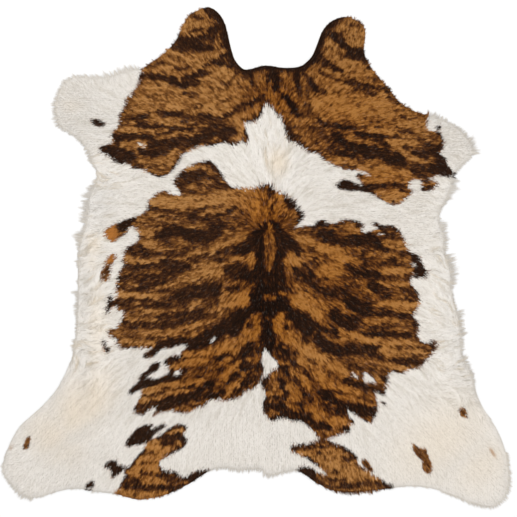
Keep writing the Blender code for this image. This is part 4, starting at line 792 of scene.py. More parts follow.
        (0.7, 3, (142, 396), (152, 395), (164, 392)), (0.2, 6, (142, 401), (158, 400)), (0.93, 11, (158, 406), (170, 402), (184, 399), (197, 396), (204, 390), (209, 386)),
        (0.85, 9, (136, 410), (146, 408), (156, 404)), (0.35, 3, (180, 411), (188, 411)), (0.25, 4, (190, 402), (196, 402)), (0.5, 4, (203, 398), (206, 391)),
        (0.92, 6, (206, 396), (219, 395)), (0.8, 5, (220, 371), (226, 370)),
    )),
    ("loin", (
        (0.85, 6, (232, 362), (240, 358), (250, 356)), (0.15, 5, (220, 362), (230, 359)), (0.2, 4, (247, 359), (254, 361), (259, 361)), (0.12, 9, (224, 378), (232, 370), (239, 363)),
        (0.93, 9, (241, 367), (249, 366)), (0.15, 4, (242, 374), (248, 375)), (0.85, 4, (227, 382), (233, 378), (239, 374)), (0.2, 7, (228, 390), (234, 385), (239, 382)),
        (0.85, 9, (244, 384), (251, 378), (258, 372), (261, 365)), (0.3, 3, (253, 384), (256, 382)), (0.35, 3, (254, 377), (256, 373)), (0.9, 5, (220, 391), (227, 396)),
        (0.2, 6, (228, 396), (232, 390)), (0.7, 5, (236, 394), (241, 391)), (0.9, 6, (262, 385), (267, 379)), (0.3, 5, (271, 373), (278, 377)), (0.2, 5, (274, 388), (280, 389)),
        (0.92, 7, (281, 382), (284, 388), (285, 394)), (0.85, 5, (293, 379), (300, 383)), (0.8, 4, (305, 372), (309, 377)), (0.15, 8, (288, 387), (296, 391), (298, 398)),
        (0.85, 5, (303, 388), (307, 394), (311, 401)), (0.2, 11, (317, 370), (324, 381), (329, 390)), (0.85, 8, (322, 393), (332, 396)), (0.2, 5, (266, 396), (273, 394), (281, 392)),
        (0.85, 4, (274, 398), (279, 398)), (0.85, 4, (284, 397), (287, 399)), (0.93, 7, (264, 398), (264, 405), (266, 411)), (0.93, 7, (268, 407), (278, 406), (287, 405)),
        (0.15, 5, (286, 402), (292, 407), (299, 412)), (0.2, 5, (291, 398), (301, 402)), (0.92, 8, (281, 411), (288, 414), (296, 418), (303, 421)), (0.3, 4, (270, 413), (279, 413)),
        (0.9, 4, (271, 419), (283, 417)), (0.88, 5, (301, 404), (305, 409)), (0.85, 5, (302, 414), (308, 419), (314, 424)), (0.18, 6, (306, 407), (314, 412), (322, 419)),
        (0.85, 5, (307, 422), (316, 426), (328, 429)), (0.75, 6, (322, 406), (331, 410)), (0.25, 6, (318, 413), (330, 418)), (0.35, 6, (316, 433), (330, 434)),
    )),
    ("left_haunch", (
        (0.2, 26, (160, 446), (146, 462), (142, 478), (150, 494)), (0.92, 4, (164, 432), (172, 427), (182, 425), (187, 428)), (0.12, 5, (166, 434), (176, 431), (183, 430)),
        (0.85, 6, (158, 438), (168, 437), (178, 437), (185, 440)), (0.85, 6, (162, 444), (172, 443), (185, 441)), (0.12, 10, (149, 446), (158, 447)), (0.3, 4, (176, 442), (181, 445)),
        (0.2, 4, (158, 449.5), (167, 449.5), (174, 449.5)), (0.9, 4, (174, 452.5), (180, 449), (187, 445)), (0.55, 3, (142, 453), (150, 453), (158, 453)), (0.5, 3, (162, 454), (170, 454)),
        (0.85, 4, (144, 450), (139, 455), (134, 460), (131, 465)), (0.86, 4.5, (122, 469), (129, 466), (135, 463)), (0.14, 8, (138, 462), (147, 460), (156, 458)), (0.12, 7, (129, 472), (142, 469), (156, 468)),
        (0.5, 2, (144, 464), (149, 464)), (0.75, 3, (140, 473), (150, 474), (160, 475), (170, 474)), (0.88, 3, (160, 463), (162, 467), (166, 471), (173, 472), (179, 476)),
        (0.95, 6, (177, 474), (185, 477), (192, 478), (198, 475), (209, 470)), (0.8, 6, (126, 474), (125, 480), (128, 486)), (0.8, 6, (130, 480), (138, 482)),
        (0.25, 6, (141, 478), (150, 480), (160, 482), (168, 483)), (0.65, 5, (165, 477), (175, 478), (184, 481)), (0.3, 5, (174, 487), (180, 484), (187, 482)),
        (0.8, 4.5, (128, 487), (140, 487), (150, 489), (160, 489)), (0.92, 4.5, (158, 488), (170, 487)), (0.85, 6, (171, 491), (180, 489), (188, 485), (196, 480)),
        (0.18, 6, (114, 491), (124, 492), (136, 494)), (0.26, 5, (125, 496), (140, 497), (155, 495), (166, 493)), (0.45, 3, (148, 492), (162, 491)),
    )),
    ("right_haunch", (
        (0.25, 30, (320, 458), (340, 466), (350, 478)), (0.95, 4, (290, 447.5), (298, 449)), (0.88, 4, (295, 446), (305, 445), (313, 446)), (0.7, 4, (300, 448), (312, 448)),
        (0.2, 6, (300, 453), (314, 453), (327, 455)), (0.55, 5, (316, 443), (328, 444)), (0.7, 3, (318, 447), (325, 449)), (0.85, 2, (319, 453), (321, 454)),
        (0.2, 6, (326, 451), (338, 456)), (0.92, 4, (307, 457), (313, 463), (316, 466)), (0.92, 5, (337, 443), (345, 447), (352, 452), (357, 458)), (0.75, 3, (340, 457), (348, 459), (353, 458)),
        (0.65, 3, (343, 462), (348, 461)), (0.5, 3, (322, 462), (332, 462)), (0.18, 8, (321, 465), (335, 467), (352, 466)), (0.18, 8, (330, 475), (346, 475), (364, 474), (376, 479)),
        (0.65, 3, (333, 472), (338, 473)), (0.8, 4, (316, 481), (323, 486), (332, 488)), (0.76, 3, (330, 479), (337, 481), (346, 480)), (0.86, 5, (340, 485), (348, 486), (356, 487)),
        (0.7, 4, (357, 484), (368, 484), (379, 483)), (0.92, 5, (384, 483), (390, 486), (394, 487)), (0.35, 4, (334, 490), (350, 491), (372, 489)),
    )),
)

# Washes: "golden" makes the tan deeper and redder, "ivory" yellows the white, the grey wash greys the white as painted
# shade along the edges and in the folds, and "fawn" browns it.
WASHES = (
    # wash, x, y, reach_x, reach_y, lean_degrees, strength
    ("golden", 268, 215, 34, 44, 0, 1.0),
    ("golden", 268, 310, 46, 100, 0, 1.0),
    ("golden", 278, 100, 40, 36, 0, 0.9),
    ("golden", 345, 120, 80, 70, 0, 0.55),
    ("golden", 340, 290, 80, 90, 0, 0.7),
    ("golden", 320, 400, 70, 50, 0, 0.85),
    ("golden", 215, 370, 60, 50, 0, 0.8),
    ("golden", 385, 178, 40, 24, 0, 0.6),
    ("golden", 150, 470, 40, 40, 0, 0.45),
    ("ivory", 84, 405, 26, 44, 35, 0.85),
    ("ivory", 55, 438, 34, 24, 40, 0.6),
    ("ivory", 440, 440, 60, 36, -38, 0.55),
    ("ivory", 480, 465, 34, 26, -40, 0.45),
    ("ivory", 278, 162, 12, 16, 0, 0.9),
    ("ivory", 92, 245, 10, 12, 0, 0.7),
    ("ivory", 90, 262, 8, 10, 0, 0.6),
    ("ivory", 94, 330, 14, 44, 0, 0.5),
    ("ivory", 72, 106, 12, 8, 0, 0.35),
    ("fawn", 11.5, 447, 1.4, 3.2, 15, 0.8),
    ("fawn", 492.4, 452.4, 2.0, 5.8, -30, 1.0),
    # the grey rows: painted shade along the belly edges, over the forelegs and in the folds of the thighs
    ("grey_shade", 96, 200, 26, 30, 0, 0.7),
    ("grey_shade", 86, 112, 46, 50, 0, 0.22),
    ("grey_shade", 84, 300, 10, 120, 0, 0.55),
    ("grey_shade", 78, 436, 9, 46, 56, 0.45),
    ("grey_shade", 60, 466, 8, 30, 52, 0.2),
    ("grey_shade", 452, 300, 12, 110, -8, 0.45),
    ("grey_shade", 445, 470, 60, 10, -30, 0.2),
)


# ---------------------------------------------------------------- a square of cells over the hide
class Cells:
    """A square of cells, step units apart, which fields over the hide are worked out on."""

    low = -8.0

    def __init__(self, step):
        self.step = step
        self.n = int(round(533 / step)) + 1
        line = self.low + np.arange(self.n) * step
        self.x, self.y = np.meshgrid(line, line)

    def look(self, field, x, y):
        """The field at x, y, between its cells."""
        u = np.clip((x - self.low) / self.step, 0, self.n - 1.001)
        v = np.clip((y - self.low) / self.step, 0, self.n - 1.001)
        i, j = u.astype(np.int32), v.astype(np.int32)
        s, t = u - i, v - j
        flat = field.ravel()
        at = j * self.n + i
        top = flat[at] * (1 - s) + flat[at + 1] * s
        low = flat[at + self.n] * (1 - s) + flat[at + self.n + 1] * s
        return top * (1 - t) + low * t

    def fill(self, points):
        """1 inside the closed line of points and 0 outside."""
        crossings = np.zeros((self.n, self.n + 1), np.int32)
        for (x0, y0), (x1, y1) in zip(points, list(points[1:]) + [points[0]]):
            if y0 == y1:
                continue
            if y0 > y1:
                x0, y0, x1, y1 = x1, y1, x0, y0
            first = max(0, math.ceil((y0 - self.low) / self.step))
            last = min(self.n, math.ceil((y1 - self.low) / self.step))
            j = np.arange(first, last)
            if len(j) == 0:
                continue
            x = x0 + (self.low + j * self.step - y0) * (x1 - x0) / (y1 - y0)
            i = np.clip(np.ceil((x - self.low) / self.step), 0, self.n).astype(int)
            np.add.at(crossings, (j, i), 1)
        return (np.cumsum(crossings, axis=1)[:, : self.n] % 2).astype(np.float32)

    def window(self, a, b, reach):
        """The slices of the cells within reach of the line from a to b."""
        out = []
        for k in (1, 0):
            lo = (min(a[k], b[k]) - reach - self.low) / self.step
            hi = (max(a[k], b[k]) + reach - self.low) / self.step
            out.append(slice(max(0, math.floor(lo)), min(self.n, math.ceil(hi) + 1)))
        return tuple(out)

    def distance(self, points, reach, closed=True, values=None):
        """How far each cell is from the line of points, at most reach, and the value of the nearest line piece."""
        far = np.full((self.n, self.n), reach, np.float32)
        near = np.zeros((self.n, self.n), np.float32)
        ends = list(points[1:]) + ([points[0]] if closed else [])
        for k, (a, b) in enumerate(zip(points, ends)):
            w = self.window(a, b, reach)
            dx, dy = b[0] - a[0], b[1] - a[1]
            px, py = self.x[w] - a[0], self.y[w] - a[1]
            t = np.clip((px * dx + py * dy) / max(1e-9, dx * dx + dy * dy), 0, 1)
            d = np.hypot(px - t * dx, py - t * dy)
            if values is not None:
                near[w] = np.where(d < far[w], values[k], near[w])
            far[w] = np.minimum(far[w], d)
        return far, near

    def blur(self, field, wide):
        """The field blurred over wide units."""
        r = wide / self.step
        k = np.arange(-math.ceil(2.5 * r), math.ceil(2.5 * r) + 1)
        weights = np.exp(-0.5 * (k / r) ** 2)
        weights /= weights.sum()
        for axis in (0, 1):
            field = sum(w * np.roll(field, int(s), axis) for s, w in zip(k, weights))
        return field

    def mottle(self, size, seed):
        """Smooth random values, about -1 to 1, that change over size units."""
        m = math.ceil(533 / size) + 3
        coarse = np.random.default_rng(seed).standard_normal((m, m))
        at = (np.arange(self.n) * self.step) / size
        i = at.astype(int)
        t = at - i
        t = t * t * (3 - 2 * t)
        rows = coarse[i] * (1 - t)[:, None] + coarse[i + 1] * t[:, None]
        return rows[:, i] * (1 - t)[None] + rows[:, i + 1] * t[None]

    def drawn_out(self, field, u, v, length, stride=1.0):
        """The field averaged along the lines that u, v point along, length units each way, at an even spread."""
        total = field.copy()
        count = 1
        for sign in (1.0, -1.0):
            x, y = self.x.copy(), self.y.copy()
            du, dv = sign * u, sign * v
            for _ in range(int(length / stride)):
                x += du * stride
                y += dv * stride
                total += self.look(field, x, y)
                count += 1
                nu, nv = self.look(u, x, y), self.look(v, x, y)
                same = np.where(nu * du + nv * dv < 0, -1.0, 1.0)
                size = np.maximum(1e-6, np.hypot(nu, nv))
                du, dv = same * nu / size, same * nv / size
        total /= count
        return (total - total.mean()) / total.std()


def ease(low, high, x):
    """0 at low and below, 1 at high and above, smooth between."""
    t = np.clip((x - low) / (high - low), 0, 1)
    return t * t * (3 - 2 * t)


def swell(t):
    """1 at 0, falling smoothly to 0 at 1 and past it."""
    return 0.5 + 0.5 * np.cos(np.pi * np.clip(np.abs(t), 0, 1))


def turned_by(u, v, degrees):
    """u, v turned anticlockwise as seen from above."""
    a = np.radians(degrees)
    return u * np.cos(a) + v * np.sin(a), v * np.cos(a) - u * np.sin(a)


def units(x_mm, y_mm):
    """Table units for a place in millimetres."""
    return MIDDLE + x_mm / UNIT_MM, MIDDLE - y_mm / UNIT_MM


def metres(x, y):
    """Metres for a place in table units."""
    return ((x - MIDDLE) * UNIT_MM + SHIFT_MM) * MM, ((MIDDLE - y) * UNIT_MM + SHIFT_MM) * MM


def smooth_loop(points, step):
    """Points about a step apart on the smooth closed curve through the given ones, and which corner each follows."""
    out, of = [], []
    n = len(points)
    for i in range(n):
        a, b, c, d = (np.array(points[(i + k - 1) % n], float) for k in range(4))
        pieces = max(1, round(np.linalg.norm(c - b) / step))
        for k in range(pieces):
            t = k / pieces
            p = 2 * b + (c - a) * t + (2 * a - 5 * b + 4 * c - d) * t * t + (3 * b - a - 3 * c + d) * t**3
            out.append(0.5 * p)
            of.append(i + t)
    return np.array(out), np.array(of)


def wrapped(values, wide):
    """A closed row of values, smoothed over wide neighbours each way."""
    k = np.arange(-3 * wide, 3 * wide + 1)
    weights = np.exp(-0.5 * (k / wide) ** 2)
    weights /= weights.sum()
    return sum(w * np.roll(values, int(s)) for s, w in zip(k, weights))


fine = Cells(0.5)
coarse = Cells(1.0)
chance = np.random.default_rng(71)

# ---------------------------------------------------------------- outline and skin edge
corners, columns = [], []
for _, taper, inset, fringe, tufted, clean, points in OUTLINE:
    corners += [units(x, y) for x, y in points]
    columns += [(taper, inset, fringe, tufted, clean)] * len(points)
tips, at_corner = smooth_loop(corners, SKIN_STEP_MM / UNIT_MM / 3)
columns = np.array(columns, float)[at_corner.astype(int)]
taper_mm, inset_mm, fringe_mm, tufted, clean = (wrapped(c, 9) for c in columns.T)
along = np.roll(tips, -1, 0) - np.roll(tips, 1, 0)
along /= np.linalg.norm(along, axis=1)[:, None]
outward = np.stack([along[:, 1], -along[:, 0]], 1)  # y is down, and the outline runs clockwise
edge = tips - outward * (inset_mm / UNIT_MM)[:, None]
edge_list = [tuple(p) for p in edge]

inside = fine.fill(edge_list)
depth, edge_index = fine.distance(edge_list, 14.0, values=np.arange(len(edge_list)))
depth = np.where(inside > 0.5, depth, -depth).astype(np.float32)  # units in from the skin's edge
nearest = edge_index.astype(int)
taper_field = fine.blur(taper_mm[nearest] / UNIT_MM, 3.0)
reach_field = np.where(np.abs(depth) < 13.5, fringe_mm[nearest] / UNIT_MM, 2.0)
clean_field = np.where(np.abs(depth) < 13.5, clean[nearest], 0.0)

# ---------------------------------------------------------------- height of the coat
x_mm, y_mm = (fine.x - MIDDLE) * UNIT_MM, (MIDDLE - fine.y) * UNIT_MM
coat = np.full(fine.x.shape, COAT_MM)
for _, x, y, rx, ry, more in COAT_ZONES:
    coat += more * swell(np.hypot((x_mm - x) / (1.6 * rx), (y_mm - y) / (1.6 * ry)))
for _, x0, y0, x1, y1, half, high in CREASES:
    dx, dy = x1 - x0, y1 - y0
    t = ((x_mm - x0) * dx + (y_mm - y0) * dy) / (dx * dx + dy * dy)
    c = np.clip(t, 0, 1)
    off = np.hypot(x_mm - x0 - c * dx, y_mm - y0 - c * dy)
    ends = 1 - swell(np.clip(np.minimum(t, 1 - t) / 0.25, 0, 1))
    coat += 1.25 * high * swell(off / (1.5 * half)) * ends
coat += 0.25 * fine.mottle(9.0, 5)
rise = np.clip(depth / np.maximum(1.0, taper_field), 0, 1)
dome = np.sqrt(np.clip(1 - (1 - rise) ** 2, 0, 1))
under_field = np.where(depth > 0, SKIN_MM + 0.15 + (coat - SKIN_MM) * UNDERCOAT_SHARE * dome, 0.7)
top_field = np.where(depth > 0, SKIN_MM + 0.6 + (coat - SKIN_MM) * dome, 1.1)

# ---------------------------------------------------------------- the lie of the hair
lie = np.array([row for _, rows in LIE for row in rows], float)
turn = np.radians(lie[:, 2])
pull_u = np.zeros(coarse.x.shape)
pull_v = np.zeros(coarse.x.shape)
for (x, y, _), a in zip(lie, turn):
    w = 1.0 / (9.0 + (coarse.x - x) ** 2 + (coarse.y - y) ** 2) ** 1.7
    pull_u += w * math.cos(a)
    pull_v -= w * math.sin(a)
size = np.maximum(1e-12, np.hypot(pull_u, pull_v))
lie_u, lie_v = pull_u / size, pull_v / size

longer = np.zeros(coarse.x.shape)
wavier = np.full(coarse.x.shape, 9.0)
rougher = np.full(coarse.x.shape, 0.6)
for _, x, y, rx, ry, more, wave, rough in HAIR_ZONES:
    w = swell(np.hypot((coarse.x - x) / (1.5 * rx), (coarse.y - y) / (1.5 * ry)))
    longer += more * w
    wavier += wave * w
    rougher += rough * w
rougher = np.clip(rougher, 0.2, 1.3)

# ---------------------------------------------------------------- the markings
mask, small_mask, left_white = (np.zeros(fine.x.shape, np.float32) for _ in range(3))
forced = np.zeros(fine.x.shape, np.float32)
browned = np.zeros(fine.x.shape, np.float32)
oranged = np.zeros(fine.x.shape, np.float32)
patch_outlines = {}
for patch, kind, _, points in PATCHES:
    patch_outlines.setdefault((patch, kind), []).extend(points)
for (_, kind), points in patch_outlines.items():
    shape = fine.fill([tuple(p) for p in smooth_loop(points, 1.0)[0]])
    if kind == "white":
        left_white = np.maximum(left_white, shape)
        continue
    if kind in ("brown", "orange"):
        small_mask = np.maximum(small_mask, shape)
    else:
        mask = np.maximum(mask, shape)
    if kind == "dark":
        forced = np.maximum(forced, shape)
        oranged = oranged * (1 - shape)
    if kind == "brown":
        browned = np.maximum(browned, shape)
    if kind == "orange":
        oranged = np.maximum(oranged, shape)
        browned = browned * (1 - shape)
mask = np.maximum(fine.blur(mask, 1.1), np.minimum(1, 1.5 * fine.blur(small_mask, 1.2))) * (1 - fine.blur(left_white, 0.9))
forced, browned, oranged = (fine.blur(f, 1.2) for f in (forced, browned, oranged))

# the way the stripes run, from the strokes themselves and the lie of the hair elsewhere
run_c = 0.00004 * (lie_u**2 - lie_v**2)
run_s = 0.00004 * (2 * lie_u * lie_v)
painted = np.full(fine.x.shape, 0.5, np.float32)
for _, rows in STROKES:
    for row in rows:
        dark, wide, points = row[0], row[1], row[2:]
        lengths = [math.dist(a, b) for a, b in zip(points, points[1:])]
        whole, gone = sum(lengths), 0.0
        soft = 0.9 + 0.1 * wide
        box_low = tuple(min(p[k] for p in points) for k in (0, 1))
        box_high = tuple(max(p[k] for p in points) for k in (0, 1))
        w = fine.window(box_low, box_high, 0.5 * wide + soft + 1)
        off = np.full(fine.x[w].shape, 99.0)
        for a, b, length in zip(points, points[1:], lengths):
            dx, dy = b[0] - a[0], b[1] - a[1]
            px, py = fine.x[w] - a[0], fine.y[w] - a[1]
            t = np.clip((px * dx + py * dy) / (length * length), 0, 1)
            s = (gone + t * length) / whole
            half = 0.5 * wide * (0.76 + 0.24 * np.sqrt(np.clip(4 * s * (1 - s), 0, 1))) + (0.35 if dark > 0.55 else 0.0)
            off = np.minimum(off, np.hypot(px - t * dx, py - t * dy) - half)
            gone += length
            mx, my = (a[0] + b[0]) / 2, (a[1] + b[1]) / 2
            near = coarse.window((mx, my), (mx, my), 45.0)
            pull = length / (60.0 + (coarse.x[near] - mx) ** 2 + (coarse.y[near] - my) ** 2) ** 2
            turned = 2 * math.atan2(dy, dx)
            if wide < 15:
                run_c[near] += pull * math.cos(turned)
                run_s[near] += pull * math.sin(turned)
        cover = 1 - ease(-soft, soft, off)
        painted[w] += (dark - painted[w]) * cover
angle = 0.5 * np.arctan2(run_s, run_c)
run_u, run_v = np.cos(angle), np.sin(angle)

curl = coarse.drawn_out(coarse.mottle(7.0, 14), lie_u, lie_v, 5.0)
band = coarse.drawn_out(coarse.mottle(2.6, 11), run_u, run_v, 5.0)
band_f, curl_f, hair_u, hair_v, wave_f = (coarse.look(f, fine.x, fine.y) for f in (band, curl, lie_u, lie_v, wavier))
waved_u, waved_v = turned_by(hair_u, hair_v, 0.8 * wave_f * curl_f)
fleck_f = fine.drawn_out(fine.mottle(1.3, 15), waved_u, waved_v, 1.0, 0.5)
streak_f = fine.drawn_out(fine.mottle(0.9, 13), waved_u, waved_v, 2.5, 0.5)
comb_f = fine.drawn_out(fine.mottle(1.6, 16), waved_u, waved_v, 7.0, 0.7)
# the strokes' edges are pushed about by the mottling, so that none is a plain line
pushed = fine.look(
    painted,
    fine.x + 0.9 * fine.mottle(4.0, 21) + 0.45 * fleck_f,
    fine.y + 0.9 * fine.mottle(3.4, 22) + 0.45 * streak_f,
)
calm = 1 - 0.55 * ease(0.78, 1.0, pushed)
dark_field = 0.035 + 0.985 * pushed + calm * (0.06 * band_f + 0.12 * fleck_f + 0.10 * streak_f)
dark_field = np.maximum(dark_field, 0.97 * ease(0.25, 0.6, forced + 0.08 * streak_f))
dark_field = dark_field * (1 - browned) + browned * (0.12 + 0.5 * browned + 0.12 * streak_f)
dark_field = dark_field * (1 - oranged) + oranged * (0.3 + 0.16 * streak_f + 0.14 * fleck_f)
# the clean edges of the neck turn down; their hair is painted near black, partly its own dark colour and partly painted
# shade where the edge turns away
edge_dark_and_shade = clean_field * (1 - ease(0.5, 7.0, depth + 1.2 * streak_f + 0.8 * fleck_f))
dark_field = np.clip(np.maximum(dark_field, 1.02 * edge_dark_and_shade), 0, 1)

wash = {name: np.zeros(coarse.x.shape) for name in ("golden", "ivory", "grey_shade", "fawn")}
for name, x, y, rx, ry, lean, strength in WASHES:
    a = math.radians(lean)
    px, py = coarse.x - x, coarse.y - y
    across, down = px * math.cos(a) + py * math.sin(a), -px * math.sin(a) + py * math.cos(a)
    spot = strength * swell(np.hypot(across / (1.5 * rx), down / (1.5 * ry)))
    wash[name] = np.maximum(wash[name], spot)


# ---------------------------------------------------------------- meshes
def sheet_mesh(name, corners_m, faces, tallies):
    """A mesh from rows of corners and triangles, with a named number for each corner."""
    mesh = bpy.data.meshes.new(name)
    mesh.vertices.add(len(corners_m))
    mesh.vertices.foreach_set("co", np.ascontiguousarray(corners_m, np.float32).ravel())
    mesh.loops.add(faces.size)
    mesh.loops.foreach_set("vertex_index", np.ascontiguousarray(faces, np.int32).ravel())
    mesh.polygons.add(len(faces))
    mesh.polygons.foreach_set("loop_start", np.arange(0, faces.size, faces.shape[1], dtype=np.int32))
    mesh.polygons.foreach_set("use_smooth", np.ones(len(faces), bool))
    mesh.update(calc_edges=True)
    for key, values in tallies.items():
        mesh.attributes.new(key, "FLOAT", "POINT").data.foreach_set("value", values.astype(np.float32))
    planar = mesh.uv_layers.new(name="OFBake")
    low, high = corners_m[:, :2].min(0), corners_m[:, :2].max(0)
    uv = ((corners_m[:, :2] - low) / (high - low))[faces.ravel()]
    planar.data.foreach_set("uv", np.ascontiguousarray(uv, np.float32).ravel())
    ob = bpy.data.objects.new(name, mesh)
    bpy.context.scene.collection.objects.link(ob)
    return ob


def colours_at(x, y, jitter=0.0, lock=0.0):
    """Which hair grows at x, y, with painted shade along the skin's edge: what the coat's material reads."""
    m = fine.look(mask, x, y) + jitter
    # rim: a band inside the skin's edge, apart from the clean edges, greyed as painted shade where the hide turns down
    rim = (1 - ease(0.5, 6.5, fine.look(depth, x, y))) * (1 - fine.look(clean_field, x, y))
    beige = 0.9 * ease(0.5, 1.9, -fine.look(comb_f, x, y)) * ease(0.75, 1.15, coarse.look(rougher, x, y))
    return {
        "brindle": ease(0.28, 0.72, m),
        "dark": np.clip(fine.look(dark_field, x, y) + lock, 0, 1),
        "orange": np.clip(fine.look(oranged, x, y) * (1.25 - fine.look(dark_field, x, y) - lock), 0, 1),
        "golden": coarse.look(wash["golden"], x, y),
        "ivory": np.maximum(coarse.look(wash["ivory"], x, y), beige),
        "fawn": coarse.look(wash["fawn"], x, y),
        "grey_shade": np.maximum(coarse.look(wash["grey_shade"], x, y), 0.5 * rim),
    }


# the skin: one thin sheet, its grain side up and its suede side on the floor
skin_edge, _ = smooth_loop(edge_list[::3], SKIN_STEP_MM / UNIT_MM)
spots = [Vector(p) for p in skin_edge]
n_edge = len(spots)
grid = 7.5
for j in range(int(517 / (grid * 0.866))):
    for i in range(int(517 / grid)):
        p = ((i + 0.5 * (j % 2)) * grid, j * grid * 0.866)
        if fine.look(depth, np.array(p[0]), np.array(p[1])) > 0.6 * grid:
            spots.append(Vector(p))
flat, _, faces, *_ = delaunay_2d_cdt(spots, [(i, (i + 1) % n_edge) for i in range(n_edge)], [], 1, 0.001)
flat = np.array([(p.x, p.y) for p in flat])
faces = np.array(faces, int)
mx, my = metres(flat[:, 0], flat[:, 1])
a, b, c = (np.stack([mx, my], 1)[faces[:, k]] for k in range(3))
flip = ((b - a)[:, 0] * (c - a)[:, 1] - (b - a)[:, 1] * (c - a)[:, 0]) < 0
faces[flip] = faces[flip][:, ::-1]
skin = sheet_mesh("skin", np.stack([mx, my, np.zeros(len(mx))], 1), faces, {})
thick = skin.modifiers.new("thickness", "SOLIDIFY")
thick.thickness = SKIN_MM * MM
thick.offset = 1.0
thick.use_rim = True
rounded = skin.modifiers.new("worn_edge", "BEVEL")
rounded.width = 0.6 * MM
rounded.segments = 1
rounded.limit_method = "ANGLE"

# the undercoat: a sheet of cells with its border drawn to the skin's edge
step = UNDERCOAT_STEP
m = int(517 / step)
line = 0.5 + np.arange(m + 1) * step
cx, cy = np.meshgrid(line[:-1] + step / 2, line[:-1] + step / 2)
kept = fine.look(depth, cx, cy) > 0.15 * step
j, i = np.nonzero(kept)
quads = np.stack([j * (m + 1) + i, (j + 1) * (m + 1) + i, (j + 1) * (m + 1) + i + 1, j * (m + 1) + i + 1], 1)
used, quads = np.unique(quads, return_inverse=True)
quads = quads.reshape(-1, 4)
ux, uy = line[used % (m + 1)].astype(float), line[used // (m + 1)].astype(float)
sides = np.concatenate([quads[:, [k, (k + 1) % 4]] for k in range(4)])
keys = np.sort(sides, 1)
_, first, counts = np.unique(keys[:, 0] * len(used) + keys[:, 1], return_index=True, return_counts=True)
rim = np.unique(sides[first[counts == 1]])
gy, gx = np.gradient(fine.blur(depth, 0.6), fine.step)
for _ in range(3):  # walk the border's corners down the distance field to the edge
    d = fine.look(depth, ux[rim], uy[rim]) - 0.15
    sx, sy = fine.look(gx, ux[rim], uy[rim]), fine.look(gy, ux[rim], uy[rim])
    long = np.maximum(0.3, np.hypot(sx, sy))
    ux[rim] -= np.clip(d, -step, step) * sx / long
    uy[rim] -= np.clip(d, -step, step) * sy / long
uz = fine.look(under_field, ux, uy)
uz[rim] = SKIN_MM + 0.1
mx, my = metres(ux, uy)
triangles = np.concatenate([quads[:, [0, 1, 2]], quads[:, [0, 2, 3]]])
tally = colours_at(ux, uy)
# the undercoat is painted dark, as painted shade under the laid hair
tally["shade"] = np.full(len(ux), 0.35)
tally["rise"] = np.full(len(ux), 0.25)
undercoat = sheet_mesh("undercoat", np.stack([mx, my, uz * MM], 1), triangles, tally)


# ---------------------------------------------------------------- the coat's hairs
hair_area = float(inside.sum()) * fine.step**2 * UNIT_MM**2  # square millimetres
spacing = math.sqrt(hair_area / STRANDS * 2 / math.sqrt(3)) / UNIT_MM
rows = int(517 / (spacing * math.sqrt(3) / 2)) + 1
cols = int(517 / spacing) + 1
gi, gj = np.meshgrid(np.arange(cols), np.arange(rows))
rx = ((gi + 0.5 * (gj % 2)) * spacing).ravel()
ry = (gj * spacing * math.sqrt(3) / 2).ravel()
rx = rx + chance.uniform(-0.45, 0.45, rx.shape) * spacing
ry = ry + chance.uniform(-0.45, 0.45, ry.shape) * spacing
here = fine.look(depth, rx, ry) > 0.12
rx, ry = rx[here], ry[here]
count = len(rx)

# locks: hairs that grow close together lean on each other and share their shade
lock = LOCK_MM / UNIT_MM
li, lj = np.floor(rx / lock).astype(int), np.floor(ry / lock).astype(int)
lock_id = (li * 7919 + lj * 104729) % 200003
lock_table = np.random.default_rng(17).uniform(-1, 1, (200003, 5))
lock_values = lock_table[lock_id]
lx = (li + 0.5 + 0.35 * lock_values[:, 0]) * lock
ly = (lj + 0.5 + 0.35 * lock_values[:, 1]) * lock

u, v = coarse.look(lie_u, rx, ry), coarse.look(lie_v, rx, ry)
wave = coarse.look(wavier, rx, ry)
rough = coarse.look(rougher, rx, ry)
comb = np.clip(fine.look(comb_f, rx, ry), -2, 2)
swing = 0.8 * wave * coarse.look(curl, rx, ry) + 0.35 * wave * lock_values[:, 2] + 6.0 * chance.standard_normal(count)
u, v = turned_by(u, v, swing)
# near a clean edge the hair lies along it
into = fine.look(clean_field, rx, ry) * (1 - ease(2.0, 6.0, fine.look(depth, rx, ry)))
ex, ey = fine.look(gx, rx, ry), fine.look(gy, rx, ry)
outwards = np.minimum(0.0, u * ex + v * ey) * into
u, v = u - outwards * ex, v - outwards * ey
size = np.maximum(1e-6, np.hypot(u, v))
u, v = u / size, v / size

length = (STRAND_MM + coarse.look(longer, rx, ry)) * chance.uniform(0.72, 1.22, count) / UNIT_MM
length *= 1 - 0.45 * into
allowed = 0.15 + fine.look(reach_field, rx, ry) * chance.uniform(0, 1, count) ** 4
for _ in range(6):  # a hair that would reach too far past the edge is shorter
    past = -fine.look(depth, rx + u * length, ry + v * length) - allowed
    length = np.where(past > 0, np.maximum(0.3, length * 0.78), length)
over = ease(0.0, 1.5, -fine.look(depth, rx + u * length, ry + v * length))

# the hairs of a lock lean together
side = (lx - rx) * -v + (ly - ry) * u
lean = np.clip(0.55 * side / np.maximum(0.5, length), -0.35, 0.35)
u, v = u - lean * v, v + lean * u
size = np.hypot(u, v)
u, v = u / size, v / size
bend = 0.07 * chance.standard_normal(count) + 0.05 * lock_values[:, 3]
mid = 0.4 + 0.08 * chance.uniform(-1, 1, count)
half = 0.5 * STRAND_WIDE_MM / UNIT_MM * chance.uniform(0.7, 1.3, count) * np.clip(length / 4.5, 0.55, 1.15)
half *= 1 - 0.72 * over
smooth = np.clip(0.45 + 1.1 * rough, 0.35, 1.0)
roll = smooth * (chance.uniform(-0.6, 0.6, count) + 0.25 * lock_values[:, 2])

